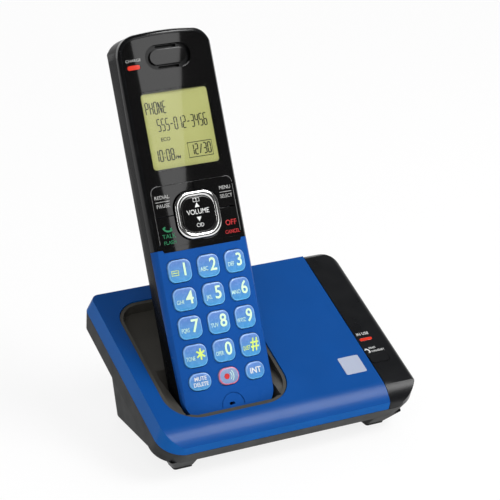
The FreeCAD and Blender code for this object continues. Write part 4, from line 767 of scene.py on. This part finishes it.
# The rear housing is painted darker on its front and sides than on its back: painted shade
second_material(pieces["rear_housing"], BACK, HAND, (0.0, 0.0, 1.0), -0.55)
second_material(pieces["base_bottom_shell"], BACK, WORLD, (0.0, -1.0, 0.0), -0.55)

# CAD nodes that are drawn as they come
KEPT = {
    "lcd_panel": LCD, "display_backlight": WHITE, "earpiece_speaker": BLACK,
    "keypad_mat": SILICONE, "handset_board": BOARD, "microphone": BLACK, "battery_pack": CELLS,
    "loudspeaker": BLACK, "handset_charge_contacts": GOLD, "handset_screws": STEEL,
    "cradle_contact_left": GOLD, "cradle_contact_right": GOLD, "base_board": BOARD,
    "jack_board": BOARD, "line_jack": BLACK, "power_jack": BLACK, "base_screws": STEEL,
    "foot_pads": RUBBER,
}
for node, mat in KEPT.items():
    mesh = frame["nodes"][node].data
    mesh.materials.clear()
    mesh.materials.append(mat)

# Floor, room, lamps and camera, in metres
FLOOR_HALF, FLOOR_GLOW = 6.0, 0.84
# Strength of the room: as plain light, and in mirrors at its dark and its white end
ROOM_PLAIN, ROOM_DARK, ROOM_WHITE = 0.34, 0.05, 1.0
# The way to its white end, and where along it the change starts and ends
ROOM_AXIS, ROOM_START, ROOM_END = (0.42, 0.90, -0.10), 0.45, 0.85
MIDDLE = (0.0, 0.0, 0.08)


def floor():
    """White floor: a glow for the eye alone takes it near the background and leaves its shadow."""
    mesh = bpy.data.meshes.new("floor")
    corners = [(x * FLOOR_HALF, y * FLOOR_HALF, 0) for x, y in ((-1, -1), (1, -1), (1, 1), (-1, 1))]
    mesh.from_pydata(corners, [], [(0, 1, 2, 3)])
    obj = bpy.data.objects.new("floor", mesh)
    bpy.context.scene.collection.objects.link(obj)
    mat, tree, shader = nodes_of("floor_white")
    shader.inputs["Roughness"].default_value = 0.9
    shader.inputs["Specular IOR Level"].default_value = 0.1
    paint = colours(tree, noise(tree, 3.0), (0.93, 0.93, 0.93), (0.95, 0.95, 0.95))
    link(tree, paint, shader.inputs["Base Color"])
    glow = tree.nodes.new("ShaderNodeEmission")
    glow.inputs["Color"].default_value = (1.0, 1.0, 1.0, 1.0)
    both = tree.nodes.new("ShaderNodeMixShader")
    link(tree, math_node(tree, "MULTIPLY", looked_at(tree), FLOOR_GLOW), both.inputs["Fac"])
    link(tree, shader.outputs["BSDF"], both.inputs[1])
    link(tree, glow.outputs["Emission"], both.inputs[2])
    link(tree, both.outputs["Shader"], tree.nodes["Material Output"].inputs["Surface"])
    mesh.materials.append(mat)


def room():
    """Glossy rays meet the white backdrop behind the object and a dark room in front of it."""
    world = bpy.data.worlds.new("world")
    bpy.context.scene.world = world
    world.use_nodes = True
    tree = world.node_tree
    background = tree.nodes["Background"]
    background.inputs["Color"].default_value = (1.0, 1.0, 1.0, 1.0)
    rays = tree.nodes.new("ShaderNodeLightPath")
    coords = tree.nodes.new("ShaderNodeTexCoord")
    toward = tree.nodes.new("ShaderNodeVectorMath")
    toward.operation = "DOT_PRODUCT"
    toward.inputs[1].default_value = ROOM_AXIS
    link(tree, coords.outputs["Generated"], toward.inputs[0])
    mirrored = spread(tree, toward.outputs["Value"], ROOM_DARK, ROOM_WHITE, ROOM_START, ROOM_END)
    dim = mixed(tree, rays.outputs["Is Glossy Ray"], ROOM_PLAIN, mirrored)
    seen = math_node(tree, "MAXIMUM", rays.outputs["Is Camera Ray"],
                     rays.outputs["Is Transmission Ray"])
    link(tree, mixed(tree, seen, dim, 1.0), background.inputs["Strength"])


def lamp(name, place, target, power, size_x, size_y, roll=0.0, mirrored=True):
    """A soft box at a place, aimed at a target; some stay out of mirrors."""
    data = bpy.data.lights.new(name, "AREA")
    data.shape = "RECTANGLE"
    data.size = size_x
    data.size_y = size_y
    data.energy = power
    obj = bpy.data.objects.new(name, data)
    obj.location = place
    aim = (Vector(target) - Vector(place)).to_track_quat("-Z", "Y")
    obj.rotation_euler = (aim @ Quaternion((0, 0, 1), math.radians(roll))).to_euler()
    obj.visible_glossy = mirrored
    bpy.context.scene.collection.objects.link(obj)


def lamps():
    lamp("key_lamp", (-0.55, -1.0, 1.0), MIDDLE, 5.6, 0.9, 0.9, mirrored=False)
    lamp("fill_lamp", (0.95, -0.45, 0.6), MIDDLE, 1.4, 0.6, 0.6, mirrored=False)
    # The grey band that the glossy front mirrors
    lamp("front_lamp", (0.437, -1.160, 0.965), (-0.014, 0.095, 0.276), 2.0, 1.0, 0.45, roll=16.9)
    # The pale gleam along the base's rounded front
    lamp("high_lamp", (0.55, -0.60, 1.02), (0.0, -0.03, 0.03), 10.0, 0.62, 0.55)
    lamp("edge_lamp", (-1.18, -0.45, 0.30), (-0.04, 0.0, 0.10), 1.2, 0.07, 1.0)
    lamp("back_lamp", (0.35, 1.3, 0.9), MIDDLE, 5.0, 1.0, 0.5)


# Camera: turned to the left of the front and raised, in radians, at a distance in metres
CAMERA_AZ, CAMERA_EL, CAMERA_DISTANCE = 0.465, 0.376, 0.8955
LENS, SENSOR = 144.0, 36.0
PICTURE = 500.0
SHIFT_X_PIXELS, SHIFT_Y_PIXELS = 3.5, 3.8
TARGET_Y, TARGET_Z = 49.0, 80.0


def camera():
    level = math.cos(CAMERA_EL)
    forward = Vector((math.sin(CAMERA_AZ) * level, math.cos(CAMERA_AZ) * level,
                      -math.sin(CAMERA_EL)))
    target = Vector((0.0, TRAY_Y + TARGET_Y, TARGET_Z)) * MM
    data = bpy.data.cameras.new("camera")
    data.lens = LENS
    data.sensor_width = SENSOR
    data.shift_x = SHIFT_X_PIXELS / PICTURE
    data.shift_y = SHIFT_Y_PIXELS / PICTURE
    data.clip_start = 0.01
    obj = bpy.data.objects.new("camera", data)
    obj.location = target - forward * CAMERA_DISTANCE
    obj.rotation_euler = forward.to_track_quat("-Z", "Y").to_euler()
    bpy.context.scene.collection.objects.link(obj)
    bpy.context.scene.camera = obj


floor()
room()
lamps()
camera()
bpy.context.scene.view_settings.view_transform = "Standard"
